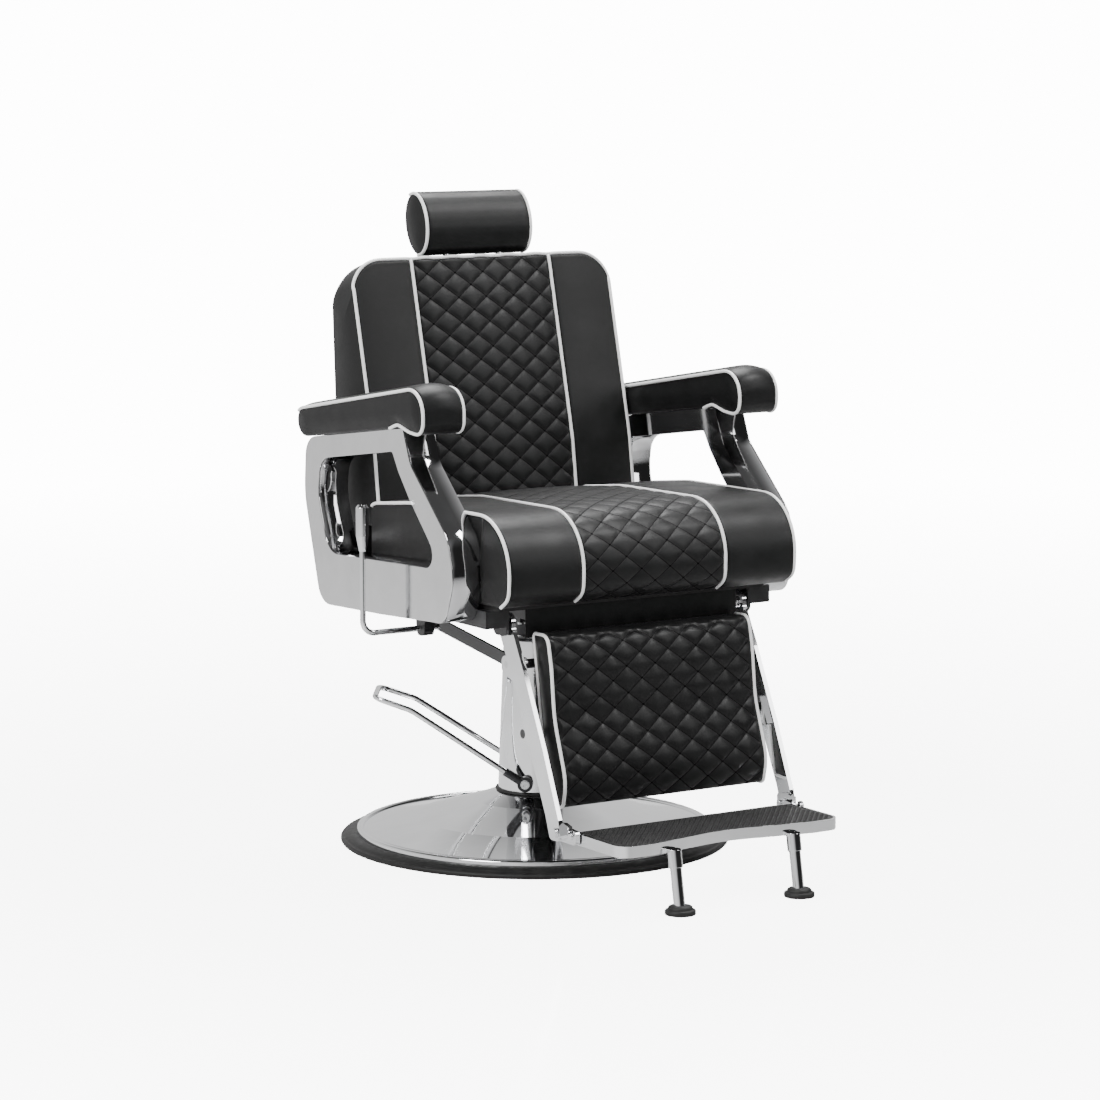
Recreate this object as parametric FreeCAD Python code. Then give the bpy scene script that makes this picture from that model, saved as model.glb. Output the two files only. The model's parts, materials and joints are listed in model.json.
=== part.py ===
"""Hydraulic barber chair.

Millimetres. Origin at the centre of the round base on the floor, +Z up. The chair faces -Y and the
sitter's right is -X. Side profiles are written as (y, z, corner radius).
"""

import FreeCAD
import Part
import math
import os

from FreeCAD import Vector

# Driving dimensions -------------------------------------------------------------------------------

BASE_R = 345.0
PLATE_R = 316.0
PLATE_T = 14.0
DISC_WALL = 3.0
DISC_RIM_Z = 25.0
DISC_TOP_R = 66.0
DISC_TOP_Z = 90.0
RING_TOP_Z = 17.0

COVER_FOOT_R = 65.0
COVER_MID_R = 60.0
COVER_TOP_R = 55.0
COVER_FOOT_Z = 94.0
COVER_TOP_Z = 364.0
COVER_WALL = 2.5

PUMP_R = 50.0
CYLINDER_R = 42.0
CYLINDER_TOP_Z = 352.0
RAM_R = 19.0
RAM_BOTTOM_Z = 136.0
RAM_TOP_Z = 398.0
OIL_BORE_R = 26.0
RUNNING_GAP = 0.05

PEDAL_PLAN_ANGLE = 146.0
PEDAL_AXIS_OFFSET = 15.0
PEDAL_AXIS_Z = 111.0
PEDAL_SHAFT_R = 8.0
PEDAL_ROD_R = 5.0
PEDAL_KINK = (215.0, 240.0)
PEDAL_END = (280.0, 262.0)
PEDAL_BRACKET_IN = 66.5
PEDAL_BRACKET_T = 12.0
PEDAL_END_HALF = 59.0

LEGREST_PIVOT = (-285.0, 442.0)
BACK_PIVOT = (115.0, 500.0)
LINK_ARM = (10.0, -70.0)
PIVOT_PIN_R = 6.0
PIN_CLEARANCE = 0.06

RAIL_INNER_X = 250.0
RAIL_OUTER_X = 290.0
RAIL_Z = (440.0, 470.0)
SEAT_HALF = 286.0
SEAT_BOARD_T = 10.0
ARM_INNER_X = 290.0
ARM_PLATE_X = 347.0
ARM_OUTER_X = 350.0
ARM_WALL = 2.5
PAD_INNER_X = 281.0
PAD_OUTER_X = 362.0

BACK_HALF = 268.0
BACK_CORNER_R = 60.0
BACK_BOTTOM_Z = 566.0
BACK_TOP_Z = 1028.0
BACK_REAR_TOP_Z = 1003.0
HEADREST_LEAN = 15.0
HEADREST_CENTRE = (221.0, 1080.0)
HEADREST_HALF = 110.0
HEADREST_BAR_X = 55.0
HEADREST_BAR_R = 6.0

LEG_PAD_HALF = 206.0
SIDE_BAR_X = (232.0, 240.0)
FOOT_PIVOT = (-442.0, 115.0)
FOOT_STOP = (-477.0, 114.0)
TRAY_HALF = 222.0
TRAY_REAR_Y = -465.0
TRAY_FRONT_Y = -604.0
TRAY_Z = (99.0, 118.0)
LEG_X = 120.0
LEG_TOP = (-611.0, 104.0)
LEG_FOOT_Y = -630.0
LEG_SLEEVE_R = 12.0
LEG_TUBE_R = 9.5
RUBBER_FOOT_R = 25.0
RUBBER_FOOT_H = 15.0

LEVER_AXIS = (-79.0, 412.0)
LEVER_X = -395.0
LEVER_ROD_R = 5.0
LOCK_X = 120.0
LOCK_FRONT = (-185.0, 428.0)

RIGHT = -1
LEFT = 1
SIDES = {"right": RIGHT, "left": LEFT}


# Shape helpers ------------------------------------------------------------------------------------

def save(name, *solids):
    """Write one node: a single solid, or several separate ones as a group."""
    shape = solids[0] if len(solids) == 1 else Part.makeCompound(list(solids))
    shape.exportStep("parts/" + name + ".step")


def block(x, y, z):
    """A box between the pairs of limits x, y and z."""
    x, y, z = sorted(x), sorted(y), sorted(z)
    return Part.makeBox(x[1] - x[0], y[1] - y[0], z[1] - z[0], Vector(x[0], y[0], z[0]))


def rod_between(start, end, radius):
    """A round bar from start to end."""
    along = end - start
    return Part.makeCylinder(radius, along.Length, start, along)


def x_rod(x, centre, radius):
    """A round bar along X through the (y, z) centre, between the two x limits."""
    x = sorted(x)
    return Part.makeCylinder(radius, x[1] - x[0], Vector(x[0], *centre), Vector(1, 0, 0))


def rounded_wire(points, place):
    """A closed wire through the corners (a, b, radius), each corner turned into a tangent arc."""
    count = len(points)
    edges = []
    first_point = None
    last_point = None
    for i in range(count):
        before = Vector(points[i - 1][0], points[i - 1][1], 0)
        corner = Vector(points[i][0], points[i][1], 0)
        after = Vector(points[(i + 1) % count][0], points[(i + 1) % count][1], 0)
        to_before = (before - corner).normalize()
        to_after = (after - corner).normalize()
        radius = points[i][2]
        half = to_before.getAngle(to_after) / 2
        arc_start = corner
        arc_end = corner
        if radius > 0:
            reach = radius / math.tan(half)
            arc_start = corner + to_before * reach
            arc_end = corner + to_after * reach
            middle_way = (to_before + to_after).normalize()
            arc_middle = corner + middle_way * (radius / math.sin(half) - radius)
        if last_point is not None and (arc_start - last_point).Length > 1e-4:
            edges.append(Part.LineSegment(place(last_point), place(arc_start)).toShape())
        if radius > 0:
            arc = Part.Arc(place(arc_start), place(arc_middle), place(arc_end))
            edges.append(arc.toShape())
        if first_point is None:
            first_point = arc_start
        last_point = arc_end
    if (first_point - last_point).Length > 1e-4:
        edges.append(Part.LineSegment(place(last_point), place(first_point)).toShape())
    return Part.Wire(Part.__sortEdges__(edges))


def side_face(points):
    """A face in the YZ plane from corners (y, z, radius)."""
    return Part.Face(rounded_wire(points, lambda p: Vector(0, p.x, p.y)))


def side_slab(points, x):
    """A side profile carried along X between the two limits."""
    x = sorted(x)
    slab = side_face(points).extrude(Vector(x[1] - x[0], 0, 0))
    slab.translate(Vector(x[0], 0, 0))
    return slab


def front_slab(points, y):
    """A front outline of (x, z, radius) carried along Y between the two limits."""
    y = sorted(y)
    slab = Part.Face(rounded_wire(points, lambda p: Vector(p.x, 0, p.y))).extrude(Vector(0, y[1] - y[0], 0))
    slab.translate(Vector(0, y[0], 0))
    return slab


def plan_slab(points, z):
    """A plan outline of (x, y, radius) carried along Z between the two limits."""
    slab = Part.Face(rounded_wire(points, lambda p: Vector(p.x, p.y, 0))).extrude(Vector(0, 0, z[1] - z[0]))
    slab.translate(Vector(0, 0, z[0]))
    return slab


def turned(edges):
    """A solid of revolution about Z from edges in the XZ plane."""
    face = Part.Face(Part.Wire(Part.__sortEdges__(edges)))
    return face.revolve(Vector(0, 0, 0), Vector(0, 0, 1), 360)


def line_rz(a, b):
    """A straight edge between two (radius, z) points."""
    return Part.LineSegment(Vector(a[0], 0, a[1]), Vector(b[0], 0, b[1])).toShape()


def arc_rz(a, b, c):
    """An arc edge through three (radius, z) points."""
    return Part.Arc(Vector(a[0], 0, a[1]), Vector(b[0], 0, b[1]), Vector(c[0], 0, c[1])).toShape()


def bent_rod(points, radii, radius):
    """A round rod along straight runs joined by tangent arcs; radii holds one bend for each inner point."""
    edges = []
    last_point = points[0]
    for i in range(1, len(points) - 1):
        to_before = (points[i - 1] - points[i]).normalize()
        to_after = (points[i + 1] - points[i]).normalize()
        half = to_before.getAngle(to_after) / 2
        reach = radii[i - 1] / math.tan(half)
        arc_start = points[i] + to_before * reach
        arc_end = points[i] + to_after * reach
        middle_way = (to_before + to_after).normalize()
        arc_middle = points[i] + middle_way * (radii[i - 1] / math.sin(half) - radii[i - 1])
        edges.append(Part.LineSegment(last_point, arc_start).toShape())
        edges.append(Part.Arc(arc_start, arc_middle, arc_end).toShape())
        last_point = arc_end
    edges.append(Part.LineSegment(last_point, points[-1]).toShape())
    path = Part.Wire(edges)
    circle = Part.makeCircle(radius, points[0], points[1] - points[0])
    return path.makePipeShell([Part.Wire([circle])], True, False)


def mirrored(shape):
    """The same shape on the other side of the chair."""
    return shape.mirror(Vector(0, 0, 0), Vector(1, 0, 0))


def both_sides(shape):
    """A shape and its mirror image."""
    return [shape, mirrored(shape)]


def hex_bolt(foot, direction, shank_r, length, head_h):
    """A bolt: shank from foot along direction, with a socket head behind the foot."""
    way = Vector(direction).normalize()
    shank = Part.makeCylinder(shank_r, length, foot, way)
    head = Part.makeCylinder(shank_r * 1.6, head_h, foot - way * head_h, way)
    socket = Part.makePolygon([
        Vector(shank_r * 0.85 * math.cos(math.radians(60 * i)), shank_r * 0.85 * math.sin(math.radians(60 * i)), 0)
        for i in range(7)
    ])
    hollow = Part.Face(socket).extrude(Vector(0, 0, head_h * 0.6))
    hollow.Placement = FreeCAD.Placement(foot - way * head_h, FreeCAD.Rotation(Vector(0, 0, 1), way))
    return shank.fuse(head).cut(hollow).removeSplitter()


# Base ---------------------------------------------------------------------------------------------

def make_base():
    """Base plate, chromed disc, rubber ring, collar and column cover."""
    save("base_plate", Part.makeCylinder(PLATE_R, PLATE_T))

    mid_r = 180.0
    mid_z = 52.0
    lip = PLATE_R - 10
    outer = [
        line_rz((PLATE_R, PLATE_T), (PLATE_R, DISC_RIM_Z - 3)),
        arc_rz((PLATE_R, DISC_RIM_Z - 3), (PLATE_R - 4, DISC_RIM_Z + 1.5), (lip, DISC_RIM_Z)),
        line_rz((lip, DISC_RIM_Z), (lip - 1.5, DISC_RIM_Z - 2)),
        line_rz((lip - 1.5, DISC_RIM_Z - 2), (lip - 4, DISC_RIM_Z - 1)),
        arc_rz((lip - 4, DISC_RIM_Z - 1), (mid_r, mid_z), (DISC_TOP_R, DISC_TOP_Z)),
        line_rz((DISC_TOP_R, DISC_TOP_Z), (DISC_TOP_R, DISC_TOP_Z - DISC_WALL)),
    ]
    drop = DISC_WALL + 0.5
    inner = [
        arc_rz((DISC_TOP_R, DISC_TOP_Z - DISC_WALL), (mid_r, mid_z - drop), (lip - 4, DISC_RIM_Z - 1 - drop)),
        line_rz((lip - 4, DISC_RIM_Z - 1 - drop), (PLATE_R - DISC_WALL, PLATE_T)),
        line_rz((PLATE_R - DISC_WALL, PLATE_T), (PLATE_R, PLATE_T)),
    ]
    save("base_disc", turned(outer + inner))

    ring = [
        line_rz((PLATE_R, 0), (BASE_R - 2, 0)),
        arc_rz((BASE_R - 2, 0), (BASE_R, 4), (BASE_R - 3, 8)),
        arc_rz((BASE_R - 3, 8), (BASE_R - 12, 13.5), (PLATE_R + 4, RING_TOP_Z)),
        line_rz((PLATE_R + 4, RING_TOP_Z), (PLATE_R, RING_TOP_Z)),
        line_rz((PLATE_R, RING_TOP_Z), (PLATE_R, 0)),
    ]
    save("base_rubber_ring", turned(ring))

    collar = [
        line_rz((DISC_TOP_R - 12, DISC_TOP_Z), (DISC_TOP_R + 3, DISC_TOP_Z)),
        arc_rz((DISC_TOP_R + 3, DISC_TOP_Z), (DISC_TOP_R + 4, DISC_TOP_Z + 2), (DISC_TOP_R + 1, COVER_FOOT_Z)),
        line_rz((DISC_TOP_R + 1, COVER_FOOT_Z), (DISC_TOP_R - 12, COVER_FOOT_Z)),
        line_rz((DISC_TOP_R - 12, COVER_FOOT_Z), (DISC_TOP_R - 12, DISC_TOP_Z)),
    ]
    save("column_collar", turned(collar))

    mid_z = (COVER_FOOT_Z + COVER_TOP_Z) / 2
    wall = COVER_WALL
    cover = turned([
        arc_rz((COVER_FOOT_R, COVER_FOOT_Z), (COVER_MID_R, mid_z), (COVER_TOP_R, COVER_TOP_Z - 3)),
        line_rz((COVER_TOP_R, COVER_TOP_Z - 3), (COVER_TOP_R - 3, COVER_TOP_Z)),
        line_rz((COVER_TOP_R - 3, COVER_TOP_Z), (RAM_R + 4, COVER_TOP_Z)),
        line_rz((RAM_R + 4, COVER_TOP_Z), (RAM_R + 4, COVER_TOP_Z - 4)),
        line_rz((RAM_R + 4, COVER_TOP_Z - 4), (COVER_TOP_R - wall, COVER_TOP_Z - 4)),
        arc_rz((COVER_TOP_R - wall, COVER_TOP_Z - 4), (COVER_MID_R - wall, mid_z),
               (COVER_FOOT_R - wall, COVER_FOOT_Z)),
        line_rz((COVER_FOOT_R - wall, COVER_FOOT_Z), (COVER_FOOT_R, COVER_FOOT_Z)),
    ])
    shaft_hole = pedal_cylinder(-90, 90, PEDAL_SHAFT_R + 1.5)
    save("column_cover", cover.cut(shaft_hole))


# Pump, ram and pedal ------------------------------------------------------------------------------

def pedal_point(along, across, z):
    """A point in the pedal's own plan directions: along the pedal, across it, and up."""
    turn = math.radians(PEDAL_PLAN_ANGLE)
    way = Vector(math.cos(turn), math.sin(turn), 0)
    side = Vector(way.y, -way.x, 0)
    return way * along + side * across + Vector(0, 0, z)


def pedal_cylinder(start, end, radius):
    """A cylinder on the pedal's axis between two distances across the column."""
    a = pedal_point(PEDAL_AXIS_OFFSET, start, PEDAL_AXIS_Z)
    b = pedal_point(PEDAL_AXIS_OFFSET, end, PEDAL_AXIS_Z)
    return rod_between(a, b, radius)


def make_pump():
    """The pump casting with its cylinder, the flange bolts and the gland that guides the ram."""
    flange_r = 65.0
    flange_t = 10.0
    casting = Part.makeCylinder(PUMP_R, 130 - PLATE_T, Vector(0, 0, PLATE_T))
    casting = casting.fuse(Part.makeCylinder(flange_r, flange_t, Vector(0, 0, PLATE_T)))
    casting = casting.fuse(Part.makeCylinder(CYLINDER_R, CYLINDER_TOP_Z - 130, Vector(0, 0, 130)))
    bore_z = RAM_BOTTOM_Z - 4
    casting = casting.cut(Part.makeCylinder(OIL_BORE_R, CYLINDER_TOP_Z, Vector(0, 0, bore_z)))
    casting = casting.cut(pedal_cylinder(-90, 90, PEDAL_SHAFT_R + RUNNING_GAP))
    bolts = []
    for i in range(4):
        turn = math.radians(45 + 90 * i)
        foot = Vector(57 * math.cos(turn), 57 * math.sin(turn), PLATE_T + flange_t)
        casting = casting.cut(Part.makeCylinder(4, 3 * flange_t, foot - Vector(0, 0, flange_t)))
        bolts.append(hex_bolt(foot, Vector(0, 0, -1), 4, flange_t, 5))
    save("pump_body", casting.removeSplitter())
    save("pump_bolts", *bolts)

    gland_h = 22.0
    gland = Part.makeCylinder(OIL_BORE_R, gland_h, Vector(0, 0, CYLINDER_TOP_Z - gland_h))
    gland = gland.fuse(Part.makeCylinder(CYLINDER_R - 6, 5, Vector(0, 0, CYLINDER_TOP_Z)))
    gland = gland.cut(Part.makeCylinder(RAM_R + RUNNING_GAP, 60, Vector(0, 0, CYLINDER_TOP_Z - 30)))
    save("ram_gland", gland.removeSplitter())


def make_ram():
    """The polished ram with its piston head, and the washer that carries the seat's hub."""
    ram = Part.makeCylinder(RAM_R, RAM_TOP_Z - RAM_BOTTOM_Z, Vector(0, 0, RAM_BOTTOM_Z))
    piston = Part.makeCylinder(OIL_BORE_R - RUNNING_GAP, 20, Vector(0, 0, RAM_BOTTOM_Z))
    save("ram", ram.fuse(piston).removeSplitter())
    save("thrust_washer", Part.makeCylinder(RAM_R - 1, 2, Vector(0, 0, RAM_TOP_Z)))


def make_pedal():
    """Cam shaft, cast brackets, socket bolts and the bent rod loop."""
    outer = PEDAL_BRACKET_IN + PEDAL_BRACKET_T
    shaft = pedal_cylinder(-outer, outer, PEDAL_SHAFT_R)

    rise = math.atan2(PEDAL_KINK[1] - PEDAL_AXIS_Z, PEDAL_KINK[0] - PEDAL_AXIS_OFFSET)
    socket_reach = 42.0
    socket_along = PEDAL_AXIS_OFFSET + socket_reach * math.cos(rise)
    socket_z = PEDAL_AXIS_Z + socket_reach * math.sin(rise)
    middle = PEDAL_BRACKET_IN + PEDAL_BRACKET_T / 2
    brackets = []
    bolts = []
    for side in (-1, 1):
        boss = pedal_cylinder(side * PEDAL_BRACKET_IN, side * outer, 13.5)
        foot = pedal_point(PEDAL_AXIS_OFFSET, side * middle, PEDAL_AXIS_Z)
        tip = pedal_point(socket_along, side * middle, socket_z)
        arm = rod_between(foot, tip, 7.5)
        limit = pedal_cylinder(side * PEDAL_BRACKET_IN, side * (outer + 10), 60)
        bracket = boss.fuse(arm.common(limit)).cut(pedal_cylinder(-90, 90, PEDAL_SHAFT_R))
        brackets.append(bracket.removeSplitter())
        bolt_foot = pedal_point(PEDAL_AXIS_OFFSET, side * outer, PEDAL_AXIS_Z)
        inward = pedal_point(0, -side, 0)
        bolts.append(hex_bolt(bolt_foot, inward, 4.5, 14, 6))
        shaft = shaft.cut(bolts[-1])
    save("pedal_shaft", shaft)
    save("pedal_brackets", *brackets)
    save("pedal_bolts", *bolts)

    path = [
        pedal_point(socket_along, middle, socket_z),
        pedal_point(PEDAL_KINK[0], PEDAL_END_HALF + 4, PEDAL_KINK[1]),
        pedal_point(PEDAL_END[0], PEDAL_END_HALF, PEDAL_END[1]),
        pedal_point(PEDAL_END[0], -PEDAL_END_HALF, PEDAL_END[1]),
        pedal_point(PEDAL_KINK[0], -PEDAL_END_HALF - 4, PEDAL_KINK[1]),
        pedal_point(socket_along, -middle, socket_z),
    ]
    loop = bent_rod(path, [60, 20, 20, 60], PEDAL_ROD_R)
    for bracket in brackets:
        loop = loop.cut(bracket)
    save("pedal_loop", loop)


# Seat structure -----------------------------------------------------------------------------------

def make_hub():
    """The hub that turns on the ram, its mounting plate and bolts."""
    hub = Part.makeCylinder(36, 42, Vector(0, 0, 368))
    hub = hub.cut(Part.makeCylinder(RAM_R + RUNNING_GAP, RAM_TOP_Z + 2.2 - 368, Vector(0, 0, 368)))
    save("swivel_hub", hub)
    plate = block((-100, 100), (-110, 110), (410, 418))
    bolts = []
    for x in (-88, 88):
        for y in (-95, 95):
            foot = Vector(x, y, 410)
            plate = plate.cut(Part.makeCylinder(4, 20, foot))
            bolts.append(hex_bolt(foot, Vector(0, 0, 1), 4, 8, 5))
    save("mounting_plate", plate)
    save("mounting_bolts", *bolts)


def make_under_frame():
    """Two channels on the mounting plate, two cross tubes, and the front lugs and pin of the lock."""
    frame = None
    for x in (-90, 90):
        channel = block((x - 12, x + 12), (-200, 60), (418, 448))
        channel = channel.cut(block((x - 9, x + 9), (-200, 60), (421, 445)))
        frame = channel if frame is None else frame.fuse(channel)
    frame = frame.fuse(block((-RAIL_INNER_X, RAIL_INNER_X), (-200, -180), (448, RAIL_Z[1])))
    frame = frame.fuse(block((-RAIL_INNER_X, RAIL_INNER_X), (-40, -20), (448, RAIL_Z[1])))
    gap = block((-RAIL_INNER_X, RAIL_INNER_X), (-41, -19), (448, 454))
    frame = frame.cut(gap.cut(block((-103, 103), (-50, 0), (448, 454))))
    for x in (LOCK_X - 16, LOCK_X + 10):
        lug = side_slab([(-200, 448, 0), (-196, 418, 8), (-174, 418, 8), (-180, 448, 0)], (x, x + 6))
        frame = frame.fuse(lug)
    frame = frame.fuse(x_rod((LOCK_X - 16, LOCK_X + 16), LOCK_FRONT, 5))
    save("seat_under_frame", frame.removeSplitter())


def make_side_rails():
    """Box rails behind the arm frames, with the hinge plates of the leg rest and of the back."""
    for side_name, side in SIDES.items():
        rail = block((RAIL_INNER_X, RAIL_OUTER_X), (-305, 135), RAIL_Z)
        rail = rail.cut(block((RAIL_INNER_X + 3, RAIL_OUTER_X - 3), (-302, 132), (RAIL_Z[0] + 3, RAIL_Z[1] - 3)))
        y, z = LEGREST_PIVOT
        front = side_slab([(y - 20, 470, 0), (y - 20, z - 18, 14), (y + 20, z - 18, 14), (y + 30, 470, 0)],
                          (RAIL_INNER_X - 6, RAIL_INNER_X))
        y, z = BACK_PIVOT
        rear = side_slab([(y - 16, 445, 0), (y - 16, z + 16, 14), (y + 16, z + 16, 14), (y + 16, 445, 0)],
                         (RAIL_INNER_X - 6, RAIL_INNER_X))
        body = rail.fuse(front).fuse(rear)
        for pivot in (LEGREST_PIVOT, BACK_PIVOT):
            body = body.cut(x_rod((RAIL_INNER_X - 10, RAIL_INNER_X + 1.5), pivot, PIVOT_PIN_R))
        body = body.removeSplitter()
        save(side_name + "_side_rail", body if side == LEFT else mirrored(body))


def make_pivot_bolts():
    """Shouldered bolts that the leg rest and the back turn on, fixed in the hinge plates."""
    for name, pivot, inner in (
        ("legrest_pivot_bolts", LEGREST_PIVOT, SIDE_BAR_X[0]),
        ("back_pivot_bolts", BACK_PIVOT, 222.0),
    ):
        shank = x_rod((inner, RAIL_INNER_X), pivot, PIVOT_PIN_R)
        head = x_rod((inner - 5, inner - 0.3), pivot, 10)
        neck = x_rod((inner - 1, inner), pivot, PIVOT_PIN_R)
        save(name, *both_sides(shank.fuse(neck).fuse(head).removeSplitter()))


def make_seat():
    """The seat board and the upholstered cushion with its waterfall front."""
    board_z = (RAIL_Z[1], RAIL_Z[1] + SEAT_BOARD_T)
    save("seat_board", plan_slab([(-278, -318, 20), (278, -318, 20), (278, 60, 20), (-278, 60, 20)], board_z))
    profile = [
        (76, 480, 8),
        (76, 613, 18),
        (-60, 634, 300),
        (-384, 640, 95),
        (-378, 498, 25),
        (-350, 480, 10),
    ]
    save("seat_cushion", side_slab(profile, (-SEAT_HALF, SEAT_HALF)))


ARM_OUTLINE = [
    (-137, 765, 3),
    (196, 720, 38),
    (203, 622, 150),
    (148, 432, 42),
    (-60, 439, 400),
    (-272, 450, 28),
    (-300, 528, 70),
    (-280, 594, 70),
    (-160, 706, 60),
]

ARM_OPENING = [
    (-102, 722, 8),
    (146, 687, 38),
    (155, 625, 90),
    (120, 524, 45),
    (-232, 538, 22),
    (-232, 572, 30),
    (-158, 647, 60),
    (-122, 690, 40),
]


def make_arm_frames():
    """Hollow arm frames: a pressed shell open at its outer side, closed by a polished face plate."""
    face = side_face(ARM_OUTLINE).cut(side_face(ARM_OPENING))
    hollow_outer = side_face(ARM_OUTLINE).makeOffset2D(-ARM_WALL)
    hollow_inner = side_face(ARM_OPENING).makeOffset2D(ARM_WALL)
    hollow = hollow_outer.cut(hollow_inner)
    shell = face.extrude(Vector(ARM_PLATE_X - ARM_INNER_X, 0, 0))
    shell = shell.cut(hollow.extrude(Vector(100, 0, 0)).translated(Vector(ARM_WALL, 0, 0)))
    shell.translate(Vector(ARM_INNER_X, 0, 0))
    plate = face.extrude(Vector(ARM_OUTER_X - ARM_PLATE_X, 0, 0))
    plate.translate(Vector(ARM_PLATE_X, 0, 0))
    bolts = []
    for y in (-170, 60):
        foot = Vector(RAIL_INNER_X, y, 455)
        hole = x_rod((RAIL_INNER_X - 1, ARM_INNER_X + 8), (y, 455), 4)
        shell = shell.cut(hole)
        bolts.append(hex_bolt(foot, Vector(1, 0, 0), 4, ARM_INNER_X + 6 - RAIL_INNER_X, 5))
    for side_name, side in SIDES.items():
        for name, part in (("arm_frame", shell), ("arm_face_plate", plate)):
            save(side_name + "_" + name, part if side == LEFT else mirrored(part))
        rail = Part.read("parts/" + side_name + "_side_rail.step")
        for bolt in bolts:
            rail = rail.cut(bolt if side == LEFT else mirrored(bolt))
        save(side_name + "_side_rail", rail.Solids[0])
    save("arm_bolts", *(bolts + [mirrored(bolt) for bolt in bolts]))


def armrest_bottom(y):
    """Height of the arm frame's top edge at y."""
    slope = (720.0 - 765.0) / (196.0 + 137.0)
    return 765.0 + slope * (y + 137.0)


def make_armrests():
    """Armrest pads with their hooked front ends, and the screws that hold them from below."""
    profile = [
        (207, armrest_bottom(207) + 0.2, 18),
        (206, 770, 30),
        (-225, 841, 42),
        (-224, 756, 20),
        (-178, 760, 20),
        (-140, 771, 12),
        (-112, armrest_bottom(-112) + 0.2, 4),
    ]
    pad = side_slab(profile, (PAD_INNER_X, PAD_OUTER_X))
    screws = []
    x = (ARM_INNER_X + ARM_PLATE_X) / 2
    for y in (-70, 100):
        top = armrest_bottom(y)
        bottom = top - 33
        screw = rod_between(Vector(x, y, bottom), Vector(x, y, top + 14), 2.5)
        head = rod_between(Vector(x, y, bottom - 3), Vector(x, y, bottom), 5)
        screws.append(screw.fuse(head).removeSplitter())
        pad = pad.cut(screws[-1])
    for side_name, side in SIDES.items():
        save(side_name + "_armrest_pad", pad if side == LEFT else mirrored(pad))
        frame = Part.read("parts/" + side_name + "_arm_frame.step")
        for screw in screws:
            frame = frame.cut(screw if side == LEFT else mirrored(screw))
        save(side_name + "_arm_frame", frame.Solids[0])
    save("armrest_screws", *(screws + [mirrored(screw) for screw in screws]))


# Recline lever and lock ---------------------------------------------------------------------------

def make_lever():
    """The bent release lever with its grip, and the bracket that its shaft turns in."""
    y, z = LEVER_AXIS
    path = [Vector(LEVER_X, y, 600), Vector(LEVER_X, y, z), Vector(-246, y, z)]
    save("lever_rod", bent_rod(path, [22], LEVER_ROD_R))
    grip = Part.makeCone(6, 11, 27, Vector(LEVER_X, y, 553))
    grip = grip.fuse(Part.makeCylinder(11, 48, Vector(LEVER_X, y, 580)))
    grip = grip.fuse(Part.makeCone(11, 7, 5, Vector(LEVER_X, y, 628))).removeSplitter()
    save("lever_grip", grip.cut(rod_between(path[0], path[1], LEVER_ROD_R)))
    bracket = side_slab([(y - 16, 440, 0), (y - 13, z - 13, 11), (y + 13, z - 13, 11), (y + 16, 440, 0)],
                        (-282, -262))
    save("lever_bracket", bracket.cut(x_rod((-290, -255), LEVER_AXIS, LEVER_ROD_R + RUNNING_GAP)))


def lock_point(along, across=0.0):
    """A point on the lock's line, from its front pin to the back's cross bar."""
    front = Vector(LOCK_X, *LOCK_FRONT)
    rear = Vector(LOCK_X, BACK_PIVOT[0] + LINK_ARM[0], BACK_PIVOT[1] + LINK_ARM[1])
    way = (rear - front).normalize()
    return front + way * along + Vector(across, 0, 0)


def make_lock():
    """The recline lock: a cylinder on the under-frame's pin, and its rod with an open eye at the back."""
    eye = x_rod((LOCK_X - 9, LOCK_X + 9), LOCK_FRONT, 9)
    barrel = rod_between(lock_point(15), lock_point(175), 12)
    barrel = barrel.fuse(rod_between(lock_point(0), lock_point(20), 7)).fuse(eye)
    barrel = barrel.cut(rod_between(lock_point(55), lock_point(180), 6.1))
    barrel = barrel.cut(x_rod((LOCK_X - 12, LOCK_X + 12), LOCK_FRONT, 5 + PIN_CLEARANCE))
    save("lock_cylinder", barrel.removeSplitter())
    rear = (BACK_PIVOT[0] + LINK_ARM[0], BACK_PIVOT[1] + LINK_ARM[1])
    rod = rod_between(lock_point(118), lock_point(300), 6)
    rod = rod.fuse(x_rod((LOCK_X - 6, LOCK_X + 6), rear, 17))
    rod = rod.cut(x_rod((LOCK_X - 10, LOCK_X + 10), rear, 12))
    save("lock_rod", rod.removeSplitter())


# Back and headrest --------------------------------------------------------------------------------

BACK_PROFILE = [
    (80, BACK_BOTTOM_Z, 14),
    (99, 700, 300),
    (187, BACK_TOP_Z, 16),
    (243, BACK_REAR_TOP_Z, 38),
    (224, BACK_BOTTOM_Z, 14),
]


def back_layer(depth_in, depth_out):
    """A slab of the back that follows its rear face, between two depths in front of that face."""
    lean = (243.0 - 224.0) / (BACK_REAR_TOP_Z - BACK_BOTTOM_Z)

    def at(z, depth):
        return 224.0 + lean * (z - BACK_BOTTOM_Z) - depth

    low = BACK_BOTTOM_Z - 20
    high = BACK_TOP_Z + 20
    corners = [(at(low, depth_in), low, 0), (at(high, depth_in), high, 0),
               (at(high, depth_out), high, 0), (at(low, depth_out), low, 0)]
    return side_slab(corners, (-300, 300))


def headrest_point(x, along):
    """A point on a headrest bar; along is measured up the bar from the headrest's centre."""
    lean = math.radians(HEADREST_LEAN)
    return Vector(x, HEADREST_CENTRE[0] + along * math.sin(lean), HEADREST_CENTRE[1] + along * math.cos(lean))


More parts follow.
